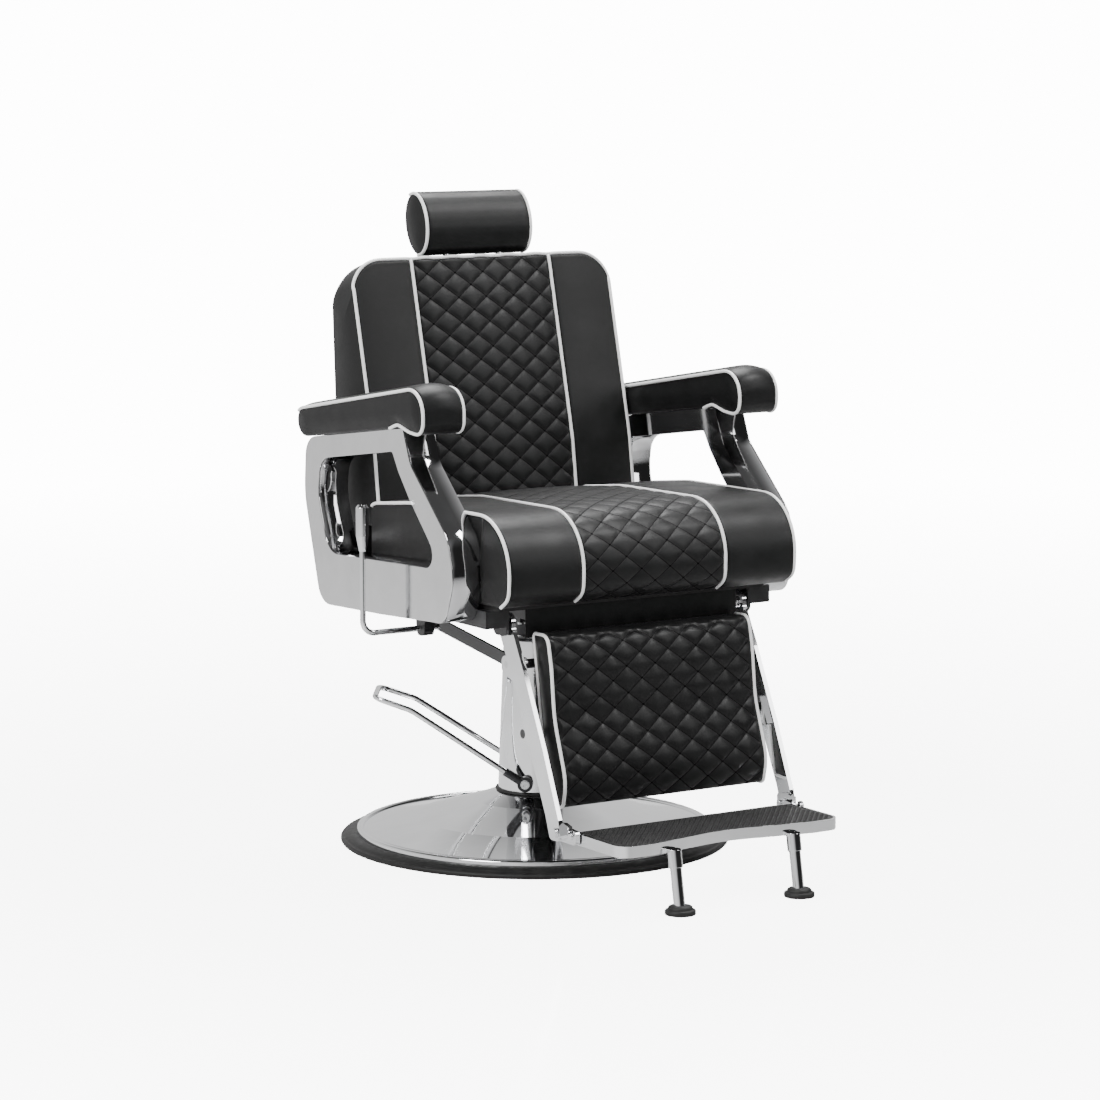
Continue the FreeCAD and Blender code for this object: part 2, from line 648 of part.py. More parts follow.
def make_back():
    """Hinge arms with the cross bar, board, cushion, rear panel and the headrest sockets."""
    low = (BACK_PIVOT[0] + LINK_ARM[0], BACK_PIVOT[1] + LINK_ARM[1])
    y, z = BACK_PIVOT
    arm = side_slab([
        (low[0] - 12, low[1] - 12, 11),
        (low[0] + 14, low[1] - 12, 11),
        (y + 16, z, 30),
        (222, 612, 12),
        (222, 760, 10),
        (202, 760, 8),
        (196, 632, 20),
        (y - 14, z + 14, 12),
    ], (224, 230))
    arm = arm.cut(x_rod((220, 235), BACK_PIVOT, PIVOT_PIN_R + PIN_CLEARANCE))
    cross_bar = x_rod((-226, 226), low, 8)
    arms = arm.fuse(mirrored(arm)).fuse(cross_bar).removeSplitter()
    save("back_hinge_arms", arms)

    outline = front_slab([
        (-BACK_HALF, BACK_BOTTOM_Z - 1, 30),
        (BACK_HALF, BACK_BOTTOM_Z - 1, 30),
        (BACK_HALF, BACK_TOP_Z + 1, BACK_CORNER_R),
        (-BACK_HALF, BACK_TOP_Z + 1, BACK_CORNER_R),
    ], (0, 300))
    whole = side_slab(BACK_PROFILE, (-BACK_HALF, BACK_HALF)).common(outline)
    panel = whole.common(back_layer(-20, 14)).cut(arms)
    board_outline = block((-BACK_HALF + 14, BACK_HALF - 14), (0, 300), (BACK_BOTTOM_Z + 14, BACK_TOP_Z - 62))
    board = whole.common(back_layer(14, 26)).common(board_outline).cut(arms)
    cushion = whole.cut(back_layer(-20, 14)).cut(board).cut(arms)

    sockets = []
    for x in (-HEADREST_BAR_X, HEADREST_BAR_X):
        socket = rod_between(headrest_point(x, -235), headrest_point(x, -66), 9)
        socket = socket.cut(rod_between(headrest_point(x, -240), headrest_point(x, -60), HEADREST_BAR_R + 0.1))
        sockets.append(socket)
        well = rod_between(headrest_point(x, -236), headrest_point(x, -40), 9)
        cushion = cushion.cut(well)
        panel = panel.cut(well)
        board = board.cut(well)
    save("headrest_sockets", *sockets)
    save("back_cushion", max(cushion.Solids, key=lambda solid: solid.Volume))
    save("back_board", max(board.Solids, key=lambda solid: solid.Volume))
    save("back_panel", max(panel.Solids, key=lambda solid: solid.Volume))


def make_headrest():
    """Two bars on a plate inside an oval pad."""
    plate = side_slab([(-3, -40, 0), (3, -40, 0), (3, 36, 0), (-3, 36, 0)], (-85, 85))
    plate.rotate(Vector(0, 0, 0), Vector(1, 0, 0), -HEADREST_LEAN)
    plate.translate(Vector(0, *HEADREST_CENTRE))
    bracket = plate
    for x in (-HEADREST_BAR_X, HEADREST_BAR_X):
        bracket = bracket.fuse(rod_between(headrest_point(x, -225), headrest_point(x, 20), HEADREST_BAR_R))
    bracket = bracket.removeSplitter()
    save("headrest_bracket", bracket)
    oval = Part.Ellipse(Vector(0, 0, 0), 54.5, 38.5).toShape()
    pad = Part.Face(Part.Wire([oval])).extrude(Vector(0, 0, 2 * HEADREST_HALF))
    pad.rotate(Vector(0, 0, 0), Vector(0, 1, 0), 90)
    pad.translate(Vector(-HEADREST_HALF, 0, 0))
    pad.rotate(Vector(0, 0, 0), Vector(1, 0, 0), -HEADREST_LEAN)
    pad.translate(Vector(0, HEADREST_CENTRE[0], HEADREST_CENTRE[1] + 4))
    save("headrest_pad", pad.cut(bracket))


# Leg rest, links and footrest ---------------------------------------------------------------------

def link_front():
    """The (y, z) of the link bars' front pins, on the leg rest's lugs."""
    return (LEGREST_PIVOT[0] + LINK_ARM[0], LEGREST_PIVOT[1] + LINK_ARM[1])


def make_legrest():
    """Side bars with brackets and link lugs, cross tubes, board and pad."""
    tube_r = 8
    lower_lug = side_slab([(-392, 240, 4), (-366, 290, 4), (-316, 274, 10), (-316, 250, 10)],
                          (SIDE_BAR_X[0] - 6, SIDE_BAR_X[0]))
    bar = side_slab([
        (-306, 463, 17),
        (-265, 463, 17),
        (-263, 434, 12),
        (-303, 362, 80),
        (-364, 236, 80),
        (-411, 137, 20),
        (-424, 101, 8),
        (-456, 101, 10),
        (-449, 137, 20),
        (-402, 246, 80),
        (-341, 372, 80),
        (-306, 438, 10),
    ], SIDE_BAR_X)
    front = link_front()
    lug = side_slab([(-340, 392, 8), (-318, 340, 8), (front[0] + 14, front[1] - 14, 12),
                     (front[0] + 14, front[1] + 14, 12)], (SIDE_BAR_X[0] - 6, SIDE_BAR_X[0]))
    bracket = side_slab([(-422, 128, 5), (-424, 101, 8), (-490, 100, 8), (-490, 122, 6), (-452, 132, 10)],
                        (SIDE_BAR_X[0] - 8, SIDE_BAR_X[0]))
    notch = block((200, 260), (FOOT_STOP[0] - 4.8, FOOT_STOP[0] + 10), (FOOT_STOP[1], 140))
    bracket = bracket.cut(notch).cut(x_rod((200, 260), FOOT_STOP, 4.8))
    bar = bar.cut(x_rod((220, 250), LEGREST_PIVOT, PIVOT_PIN_R + PIN_CLEARANCE))
    side = bar.fuse(lug).fuse(bracket)
    side = side.cut(x_rod((200, 260), FOOT_PIVOT, 5)).cut(x_rod((200, SIDE_BAR_X[0]), front, 6))
    side = side.removeSplitter()
    tubes = []
    for centre in ((-307, 376), (-327, 262)):
        tubes.append(x_rod((-SIDE_BAR_X[0], SIDE_BAR_X[0]), centre, tube_r))
    side = side.fuse(lower_lug).cut(tubes[0]).cut(tubes[1])
    save("right_legrest_bar", mirrored(side))
    save("left_legrest_bar", side)
    save("legrest_cross_tubes", *tubes)

    save("link_pins", *both_sides(x_rod((210, SIDE_BAR_X[0]), front, 6)))
    pivot = x_rod((212, SIDE_BAR_X[1]), FOOT_PIVOT, 5)
    heads = x_rod((SIDE_BAR_X[1], SIDE_BAR_X[1] + 5), FOOT_PIVOT, 8)
    save("footrest_pivot_bolts", *both_sides(pivot.fuse(heads).removeSplitter()))

    board = side_slab([(-318, 428, 4), (-366, 152, 4), (-356, 150, 4), (-308, 426, 4)], (-188, 188))
    save("legrest_board", board)
    pad = side_slab([
        (-318, 432, 6),
        (-363, 434, 20),
        (-374, 375, 120),
        (-383, 292, 200),
        (-419, 190, 80),
        (-409, 145, 12),
        (-368, 147, 8),
    ], (-LEG_PAD_HALF, LEG_PAD_HALF))
    save("legrest_pad", pad.cut(board))


def make_links():
    """Black link bars between the leg rest's lugs and the back's cross bar."""
    front = link_front()
    rear = (BACK_PIVOT[0] + LINK_ARM[0], BACK_PIVOT[1] + LINK_ARM[1])
    slope = math.atan2(rear[1] - front[1], rear[0] - front[0])
    length = math.hypot(rear[1] - front[1], rear[0] - front[0])
    bar = side_slab([(0, -11, 0), (length, -11, 0), (length, 11, 0), (0, 11, 0)], (212, 218))
    bar = bar.fuse(x_rod((212, 218), (0, 0), 13)).fuse(x_rod((212, 218), (length, 0), 14))
    bar = bar.cut(x_rod((210, 220), (0, 0), 6 + PIN_CLEARANCE)).cut(x_rod((210, 220), (length, 0), 8.8))
    bar.rotate(Vector(0, 0, 0), Vector(1, 0, 0), math.degrees(slope))
    bar.translate(Vector(0, *front))
    save("link_bars", *both_sides(bar.removeSplitter()))


def tray_outline(inset):
    """The footrest's plan outline, drawn in by an inset; its front edge dips in the middle."""
    x = TRAY_HALF - inset
    rear = TRAY_REAR_Y - inset
    front = TRAY_FRONT_Y + inset
    return [
        (-x, rear, 8),
        (-x, front - 6, 26),
        (-x + 60, front - 8, 60),
        (0, front + 22, 260),
        (x - 60, front - 8, 60),
        (x, front - 6, 26),
        (x, rear, 8),
    ]


def leg_point(x, along):
    """A point on a footrest leg's line; along runs from the tray's underside to the floor."""
    top = Vector(x, *LEG_TOP)
    foot = Vector(x, LEG_FOOT_Y, 0)
    way = (foot - top).normalize()
    return top + way * along


def make_footrest():
    """Rail frame with plate, hinge lugs and stop studs, the mat, the sleeves, tubes and rubber feet."""
    low, high = TRAY_Z
    rail = plan_slab(tray_outline(0), (low, high)).cut(plan_slab(tray_outline(3), (low, high)))
    plate = plan_slab(tray_outline(3), (low + 6, low + 10))
    frame = rail.fuse(plate)
    for side in (RIGHT, LEFT):
        lug = side_slab([(-500, low, 0), (-434, low + 4, 8), (-431, high + 4, 8), (-455, high + 4, 6),
                         (-500, high, 0)], (side * (TRAY_HALF - 6), side * TRAY_HALF))
        frame = frame.fuse(lug)
        frame = frame.cut(x_rod((side * 200, side * 223), FOOT_PIVOT, 5 + PIN_CLEARANCE))
        frame = frame.fuse(x_rod((side * (TRAY_HALF - 4), side * (SIDE_BAR_X[0] + 4)), FOOT_STOP, 4.5))
    sleeves = []
    for x in (-LEG_X, LEG_X):
        sleeve = rod_between(leg_point(x, -12), leg_point(x, 30), LEG_SLEEVE_R)
        sleeve = sleeve.cut(block((-300, 300), (-700, -500), (low + 6, 200)))
        sleeve = sleeve.cut(rod_between(leg_point(x, 4), leg_point(x, 40), LEG_TUBE_R + 0.1))
        sleeves.append(sleeve)
        frame = frame.cut(sleeve)
    save("footrest_frame", frame.removeSplitter())
    save("leg_sleeves", *sleeves)
    mat = plan_slab(tray_outline(3), (low + 10, high))
    for side in (RIGHT, LEFT):
        mat = mat.cut(block((side * (TRAY_HALF - 7), side * TRAY_HALF), (-520, -400), (low, high)))
    save("footrest_mat", mat)
    for side_name, side in SIDES.items():
        x = side * LEG_X
        end = leg_point(x, 97)
        tube = rod_between(leg_point(x, 4), end, LEG_TUBE_R)
        centre = Vector(x, LEG_FOOT_Y, 0)
        foot = Part.makeCylinder(RUBBER_FOOT_R, RUBBER_FOOT_H - 4, centre)
        foot = foot.fuse(Part.makeCone(RUBBER_FOOT_R, RUBBER_FOOT_R - 6, 4, centre + Vector(0, 0, RUBBER_FOOT_H - 4)))
        foot = foot.cut(tube)
        save(side_name + "_leg_tube", tube)
        save(side_name + "_rubber_foot", foot.removeSplitter())


def main():
    """Write every node of the chair."""
    os.makedirs("parts", exist_ok=True)
    make_base()
    make_pump()
    make_ram()
    make_pedal()
    make_hub()
    make_under_frame()
    make_side_rails()
    make_pivot_bolts()
    make_seat()
    make_arm_frames()
    make_armrests()
    make_lever()
    make_lock()
    make_back()
    make_headrest()
    make_legrest()
    make_links()
    make_footrest()


main()
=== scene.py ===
"""Looks of the hydraulic barber chair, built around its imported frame.

Metres throughout, in the frame's own axes: +Z up, the chair faces -Y, the sitter's right is -X.
Side outlines are written as corners (y, z, radius).
"""

import json
import logging
import math
from dataclasses import dataclass, field
from enum import Enum

import bmesh
import bpy
import numpy as np
from mathutils import Euler, Matrix, Vector
from mathutils.bvhtree import BVHTree


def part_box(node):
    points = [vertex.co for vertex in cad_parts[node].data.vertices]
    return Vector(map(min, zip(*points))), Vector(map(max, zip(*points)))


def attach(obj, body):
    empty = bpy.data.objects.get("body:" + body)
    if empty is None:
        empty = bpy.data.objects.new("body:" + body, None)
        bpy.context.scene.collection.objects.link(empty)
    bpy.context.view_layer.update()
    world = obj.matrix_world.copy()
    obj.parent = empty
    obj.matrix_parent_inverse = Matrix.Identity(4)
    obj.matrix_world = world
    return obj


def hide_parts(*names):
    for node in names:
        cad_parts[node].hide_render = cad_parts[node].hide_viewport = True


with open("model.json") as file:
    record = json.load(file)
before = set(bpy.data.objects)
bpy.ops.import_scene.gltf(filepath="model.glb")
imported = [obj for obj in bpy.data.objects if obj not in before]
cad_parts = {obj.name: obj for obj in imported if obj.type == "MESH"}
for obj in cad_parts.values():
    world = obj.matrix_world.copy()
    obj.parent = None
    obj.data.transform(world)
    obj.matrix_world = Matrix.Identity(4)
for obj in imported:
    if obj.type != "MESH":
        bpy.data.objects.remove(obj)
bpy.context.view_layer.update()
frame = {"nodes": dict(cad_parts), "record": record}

LOG = logging.getLogger("barber_chair")
MM = 0.001

Corner = tuple[float, float, float]


# Shader building ----------------------------------------------------------------------------------

class Value:
    """A shader socket that Python arithmetic acts on; each operator adds one Math node."""

    def __init__(self, kit: "Tree", socket: bpy.types.NodeSocket) -> None:
        """Keep the socket and the tree that it belongs to."""
        self.kit = kit
        self.socket = socket

    def __add__(self, other: "Value | float") -> "Value":
        """Sum."""
        return self.kit.maths("ADD", self, other)

    def __sub__(self, other: "Value | float") -> "Value":
        """Difference."""
        return self.kit.maths("SUBTRACT", self, other)

    def __mul__(self, other: "Value | float") -> "Value":
        """Product."""
        return self.kit.maths("MULTIPLY", self, other)

    def __truediv__(self, other: "Value | float") -> "Value":
        """Quotient."""
        return self.kit.maths("DIVIDE", self, other)

    def __rsub__(self, other: float) -> "Value":
        """A number minus this value."""
        return self.kit.maths("SUBTRACT", other, self)

    __radd__ = __add__
    __rmul__ = __mul__


class Tree:
    """A node tree that nodes are added to."""

    def __init__(self, tree: bpy.types.NodeTree) -> None:
        """Keep the tree and empty it."""
        self.tree = tree
        self.tree.nodes.clear()

    def put(self, socket: bpy.types.NodeSocket, given: object) -> None:
        """Link a value to a socket, or set the socket's own number.

        Args:
            socket: The input socket.
            given: A Value, a socket or a plain number or colour.
        """
        if isinstance(given, Value):
            self.tree.links.new(given.socket, socket)
        elif isinstance(given, bpy.types.NodeSocket):
            self.tree.links.new(given, socket)
        else:
            socket.default_value = given

    def node(self, kind: str, settings: dict | None = None, sockets: dict | None = None) -> bpy.types.Node:
        """Add a node: its settings first, then its sockets.

        Args:
            kind: The node's type after "ShaderNode".
            settings: Attributes of the node.
            sockets: Inputs by name or number, as values, links or constants.

        Returns:
            The node.
        """
        made = self.tree.nodes.new("ShaderNode" + kind)
        for key, setting in (settings or {}).items():
            setattr(made, key, setting)
        for key, given in (sockets or {}).items():
            self.put(made.inputs[key], given)
        return made

    def maths(self, operation: str, *given: "Value | float") -> Value:
        """Add a Math node.

        Args:
            operation: The node's operation.
            given: One or two values or numbers.

        Returns:
            The node's result.
        """
        made = self.node("Math", {"operation": operation}, dict(enumerate(given)))
        return Value(self, made.outputs[0])

    def attribute(self, name: str) -> Value:
        """A number stored at each point of the mesh."""
        return Value(self, self.node("Attribute", {"attribute_name": name}).outputs["Fac"])

    def place(self) -> bpy.types.NodeSocket:
        """The point's own place in the object's axes."""
        return self.node("TexCoord").outputs["Object"]

    def noise(self, size: float, detail: float = 2.0, rough: float = 0.5) -> Value:
        """Soft noise whose blotches are about the given size in metres."""
        made = self.node("TexNoise", None, {"Vector": self.place(), "Scale": 1 / size, "Detail": detail,
                                            "Roughness": rough})
        return Value(self, made.outputs["Fac"])

    def streaks(self, stretch: tuple, scale: float, detail: float) -> Value:
        """Noise drawn out along the axes that are stretched least."""
        turn = self.node("Mapping", {"vector_type": "POINT"}, {"Vector": self.place(), "Scale": stretch})
        line = self.node("TexNoise", None, {"Vector": turn.outputs[0], "Scale": scale, "Detail": detail})
        return Value(self, line.outputs["Fac"])

    def cells(self, size: float) -> Value:
        """Distance to the nearest cell's centre, for cells of about the given size in metres."""
        made = self.node("TexVoronoi", None, {"Vector": self.place(), "Scale": 1 / size})
        return Value(self, made.outputs["Distance"])

    def step(self, value: Value, low: float, high: float, start: float = 0.0, end: float = 1.0) -> Value:
        """Map low..high onto start..end, held at both ends.

        Args:
            value: What is mapped.
            low: The input's lower limit.
            high: The input's upper limit.
            start: The result at the lower limit.
            end: The result at the upper limit.

        Returns:
            The mapped value.
        """
        made = self.node("MapRange", {"clamp": True}, {"Value": value, "From Min": low, "From Max": high,
                                                       "To Min": start, "To Max": end})
        return Value(self, made.outputs["Result"])

    def sign(self, one: Value, other: Value) -> Value:
        """-1 where the first value is the smaller of two, and +1 elsewhere."""
        return self.maths("LESS_THAN", one, other) * -2.0 + 1.0

    def mix(self, amount: Value, low: tuple, high: tuple) -> bpy.types.NodeSocket:
        """Blend two colours by an amount."""
        made = self.node("Mix", {"data_type": "RGBA"}, {"Factor": amount})
        made.inputs[6].default_value = (*low, 1)
        made.inputs[7].default_value = (*high, 1)
        return made.outputs[2]


class Kit(Tree):
    """One material's node tree, ending in a Principled shader."""

    def __init__(self, name: str) -> None:
        """Start an empty material.

        Args:
            name: The material's name.
        """
        self.material = bpy.data.materials.new(name)
        self.material.use_nodes = True
        super().__init__(self.material.node_tree)
        self.shader = self.tree.nodes.new("ShaderNodeBsdfPrincipled")
        output = self.tree.nodes.new("ShaderNodeOutputMaterial")
        self.tree.links.new(self.shader.outputs["BSDF"], output.inputs["Surface"])

    def bump(self, height: Value, depth: float, strength: float) -> None:
        """Feed the shader's normal from a height.

        Args:
            height: The height, from 0 to 1.
            depth: What 1 stands for, in metres.
            strength: How much of it is used.
        """
        made = self.node("Bump", None, {"Height": height, "Distance": depth, "Strength": strength})
        self.put(self.shader.inputs["Normal"], made.outputs["Normal"])

    def set(self, **sockets: object) -> bpy.types.Material:
        """Set the shader's sockets, with underscores for spaces, and give the material."""
        for key, given in sockets.items():
            self.put(self.shader.inputs[key.replace("_", " ")], given)
        return self.material


@dataclass(frozen=True)
class LeatherFinish:
    """Black upholstery leather: fine pebble grain and soft creases; the quilting's seams and tufts carry
    painted shade, a darker colour and a metallic share that takes away their reflection.
    """

    grain: float = 1.3 * MM
    crease: float = 45 * MM
    diamond_wide: float = 57.6 * MM
    diamond_tall: float = 45 * MM
    stitches: float = 12.0

    def material(self) -> bpy.types.Material:
        """Build the leather."""
        kit = Kit("black_leather")
        quilt = kit.attribute("quilt")
        across = kit.attribute("panel_x") / self.diamond_wide
        along = kit.attribute("panel_s") / self.diamond_tall
        one = kit.maths("PINGPONG", across + along, 0.5)
        other = kit.maths("PINGPONG", across - along, 0.5)
        nearest = kit.maths("MINIMUM", one, other)
        farthest = kit.maths("MAXIMUM", one, other)
        groove = kit.step(nearest, 0.008, 0.034, 1.0, 0.0) * quilt
        tuft = kit.step(farthest, 0.030, 0.056, 1.0, 0.0) * quilt
        run = kit.maths("PINGPONG", (across + along * kit.sign(one, other)) * self.stitches, 0.5)
        thread = kit.step(nearest, 0.006, 0.014, 1.0, 0.0) * kit.step(run, 0.10, 0.18) * quilt
        crease = kit.noise(self.crease, 4.0, 0.55)
        pebble = kit.cells(self.grain)
        fine = kit.noise(self.grain * 3, 3.0, 0.6)
        height = pebble * 0.10 + fine * 0.14 + crease * 0.10 - groove * 1.3 - tuft * 1.2 + thread * 0.2
        kit.bump(height, 1.0 * MM, 0.45)
        # Colour: the crease noise gives a random tone, and the darkening in the grooves and tufts is
        # painted shade.
        shade = kit.step(crease - groove * 0.4 - tuft * 2.0, 0.10, 0.75)
        worn = kit.step(crease + pebble * 0.15 + groove * 0.5, 0.2, 0.95, 0.34, 0.60)
        colour = kit.mix(shade, (0.0016, 0.0016, 0.0017), (0.0070, 0.0070, 0.0072))
        return kit.set(
            Base_Color=colour,
            # Painted shade: a metallic share on the near-black grooves and tufts takes away their
            # reflection so they read dark; real leather isn't metallic.
            Metallic=tuft * 0.95 + groove * (1.0 - tuft) * 0.45,
            Roughness=worn + groove * 0.2 + tuft * 0.3,
            IOR=1.5,
            Specular_IOR_Level=0.24,
            Sheen_Weight=0.02,
            Sheen_Roughness=0.5,
            Coat_Weight=0.05,
            Coat_Roughness=0.30,
        )


@dataclass(frozen=True)
class PipingFinish:
    """White glossy vinyl piping with faint creases and a little soiling."""

    def material(self) -> bpy.types.Material:
        """Build the vinyl."""
        kit = Kit("white_piping")
        soil = kit.noise(12 * MM, 4.0, 0.6)
        ripple = kit.noise(2.5 * MM, 2.0, 0.5)
        kit.bump(ripple, 0.2 * MM, 0.25)
        return kit.set(
            Base_Color=kit.mix(kit.step(soil, 0.35, 0.7), (0.90, 0.90, 0.895), (0.96, 0.96, 0.955)),
            Roughness=kit.step(soil, 0.3, 0.7, 0.30, 0.20),
            Coat_Weight=0.3,
            Coat_Roughness=0.12,
        )


class Grain(Enum):
    """How a metal surface was worked."""

    MIRROR = "mirror"
    TURNED = "turned"
    BRUSHED = "brushed"
    CAST = "cast"


@dataclass(frozen=True)
class MetalFinish:
    """Bare or plated metal with the marks of how it was worked.

    A crowned finish has its rim's middle |x|, its half width and the height of its crown.
    """

    name: str
    colour: tuple[float, float, float]
    rough: float
    grain: Grain = Grain.MIRROR
    metallic: float = 1.0
    stretch: tuple[float, float, float] = (1.0, 1.0, 1.0)
    crowned: tuple[float, float, float] | None = None

    def material(self) -> bpy.types.Material:
        """Build the metal."""
        kit = Kit(self.name)
        smear = kit.noise(60 * MM, 3.0, 0.6)
        spots = kit.noise(4 * MM, 5.0, 0.7)
        if self.grain is Grain.BRUSHED:
            lines = kit.streaks(self.stretch, 1600, 2.0)
            kit.bump(lines, 0.05 * MM, 0.12)
            rough = kit.step(lines * 0.6 + smear * 0.4, 0.3, 0.7, self.rough * 0.8, self.rough * 1.3)
        elif self.grain is Grain.CAST:
            pits = kit.cells(2.2 * MM) * 0.5 + spots * 0.5
            kit.bump(pits, 0.5 * MM, 0.35)
            rough = kit.step(spots, 0.3, 0.7, self.rough * 0.85, self.rough * 1.2)
        else:
            if self.crowned:
                self.crown(kit)
            else:
                strength = 0.05 if self.grain is Grain.MIRROR else 0.02
                kit.bump(kit.noise(220 * MM, 1.0, 0.4), 0.6 * MM, strength)
            rough = kit.step(smear * 0.7 + spots * 0.3, 0.3, 0.75, self.rough * 0.7, self.rough * 1.7)
        dark = tuple(part * 0.93 for part in self.colour)
        return kit.set(
            Base_Color=kit.mix(kit.step(smear, 0.3, 0.7), dark, self.colour),
            Metallic=self.metallic,
            Roughness=rough,
        )

    def crown(self, kit: Kit) -> None:
        """Shade a rim as if it were crowned across x: its height is 1 - ((|x| - middle) / half)^2."""
        middle, half, rise = self.crowned
        split = kit.node("SeparateXYZ", None, {0: kit.place()})
        across = (kit.maths("ABSOLUTE", Value(kit, split.outputs[0])) - middle) / half
        kit.bump(1.0 - across * across, rise, 1.0)


@dataclass(frozen=True)
class PaintFinish:
    """Semi-gloss powder coat with a light orange-peel skin."""

    name: str
    colour: tuple[float, float, float]
    rough: float = 0.35

    def material(self) -> bpy.types.Material:
        """Build the paint."""
        kit = Kit(self.name)
        peel = kit.noise(1.6 * MM, 2.0, 0.5)
        wear = kit.noise(30 * MM, 4.0, 0.6)
        kit.bump(peel, 0.12 * MM, 0.35)
        light = tuple(part * 1.6 + 0.004 for part in self.colour)
        return kit.set(
            Base_Color=kit.mix(kit.step(wear, 0.45, 0.75), self.colour, light),
            Roughness=kit.step(wear, 0.3, 0.7, self.rough * 0.85, self.rough * 1.25),
            Coat_Weight=0.15,
            Coat_Roughness=0.2,
        )


@dataclass(frozen=True)
class RubberFinish:
    """Matt black rubber, dusty in its hollows."""

    name: str = "black_rubber"
    rough: float = 0.6

    def material(self) -> bpy.types.Material:
        """Build the rubber."""
        kit = Kit(self.name)
        dust = kit.noise(18 * MM, 5.0, 0.65)
        fine = kit.noise(0.9 * MM, 2.0, 0.5)
        kit.bump(fine, 0.12 * MM, 0.4)
        return kit.set(
            Base_Color=kit.mix(kit.step(dust, 0.45, 0.8), (0.008, 0.008, 0.008), (0.022, 0.022, 0.021)),
            Roughness=kit.step(dust, 0.3, 0.7, self.rough * 0.8, self.rough * 1.15),
            Specular_IOR_Level=0.4,
        )


@dataclass(frozen=True)
class PlyFinish:
    """Plywood under a black stain, its grain still showing."""

    def material(self) -> bpy.types.Material:
        """Build the plywood."""
        kit = Kit("plywood")
        grain = kit.streaks((6, 90, 90), 4.0, 5.0)
        kit.bump(grain, 0.3 * MM, 0.3)
        return kit.set(
            Base_Color=kit.mix(kit.step(grain, 0.3, 0.7), (0.008, 0.008, 0.008), (0.018, 0.018, 0.018)),
            Roughness=kit.step(grain, 0.2, 0.8, 0.55, 0.75),
        )


@dataclass
class Finishes:
    """Every finish of the chair by its record slot."""

    made: dict[str, bpy.types.Material] = field(default_factory=dict)

    def build(self) -> None:
        """Make the materials."""
        chrome = (0.86, 0.865, 0.875)
        steel = (0.74, 0.745, 0.75)
        stainless = (0.62, 0.62, 0.63)
        low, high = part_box("left_arm_frame")
        rim = ((low.x + high.x) / 2, (high.x - low.x) / 2, 6 * MM)
        recipes = {
            "mirror_chrome": MetalFinish("mirror_chrome", chrome, 0.045),
            "stainless": MetalFinish("stainless", stainless, 0.07),
            "arm_shell": MetalFinish("arm_shell", stainless, 0.06, crowned=rim),
            "stainless_face": MetalFinish("stainless_face", (0.80, 0.80, 0.805), 0.085, Grain.BRUSHED,
                                          stretch=(1, 0.05, 1)),
            "black_leather": LeatherFinish(),
            "white_piping": PipingFinish(),
            "black_rubber": RubberFinish(),
            "black_steel": PaintFinish("black_steel", (0.012, 0.012, 0.013)),
            "cast_iron": MetalFinish("cast_iron", (0.03, 0.03, 0.032), 0.38, Grain.CAST, 0.6),
            "zinc_steel": MetalFinish("zinc_steel", steel, 0.24, Grain.TURNED),
            "brass": MetalFinish("brass", (0.78, 0.58, 0.28), 0.22, Grain.TURNED),
            "plywood": PlyFinish(),
        }
        for slot, recipe in recipes.items():
            self.made[slot] = recipe.material()
            LOG.info("finish %s", slot)

    def dress(self, obj: bpy.types.Object, slot: str) -> None:
        """Give a piece one finish all over.

        Args:
            obj: The piece.
            slot: The record's slot.
        """
        obj.data.materials.clear()
        obj.data.materials.append(self.made[slot])


# Meshes from arrays -------------------------------------------------------------------------------

def mesh_object(name: str, points: np.ndarray, faces: list | np.ndarray,
                smooth: bool = True) -> bpy.types.Object:
    """Put arrays into a new mesh object at the origin.

    Args:
        name: The piece's name.
        points: Vertices, n by 3.
        faces: Vertex numbers of each face.
        smooth: Whether the faces shade smoothly.

    Returns:
        The object, linked to the scene.
    """
    mesh = bpy.data.meshes.new(name)
    rows = faces.tolist() if isinstance(faces, np.ndarray) else faces
    mesh.from_pydata(np.asarray(points, float).reshape(-1, 3).tolist(), [], rows)
    mesh.validate()
    mesh.polygons.foreach_set("use_smooth", [smooth] * len(mesh.polygons))
    obj = bpy.data.objects.new(name, mesh)
    bpy.context.scene.collection.objects.link(obj)
    return obj


def grid_faces(rows: int, columns: int, wrap_rows: bool = False, wrap_columns: bool = False) -> np.ndarray:
    """Quads of a grid of points stored row after row.

    Args:
        rows: Number of rows.
        columns: Points in a row.
        wrap_rows: Join the last row to the first.
        wrap_columns: Join the last column to the first.

    Returns:
        One line of four vertex numbers for each quad.
    """
    row = np.arange(rows if wrap_rows else rows - 1)
    column = np.arange(columns if wrap_columns else columns - 1)
    i, j = np.meshgrid(row, column, indexing="ij")
    i, j = i.ravel(), j.ravel()
    below = (i + 1) % rows
    right = (j + 1) % columns
    quad = [i * columns + j, below * columns + j, below * columns + right, i * columns + right]
    return np.stack(quad, axis=1)


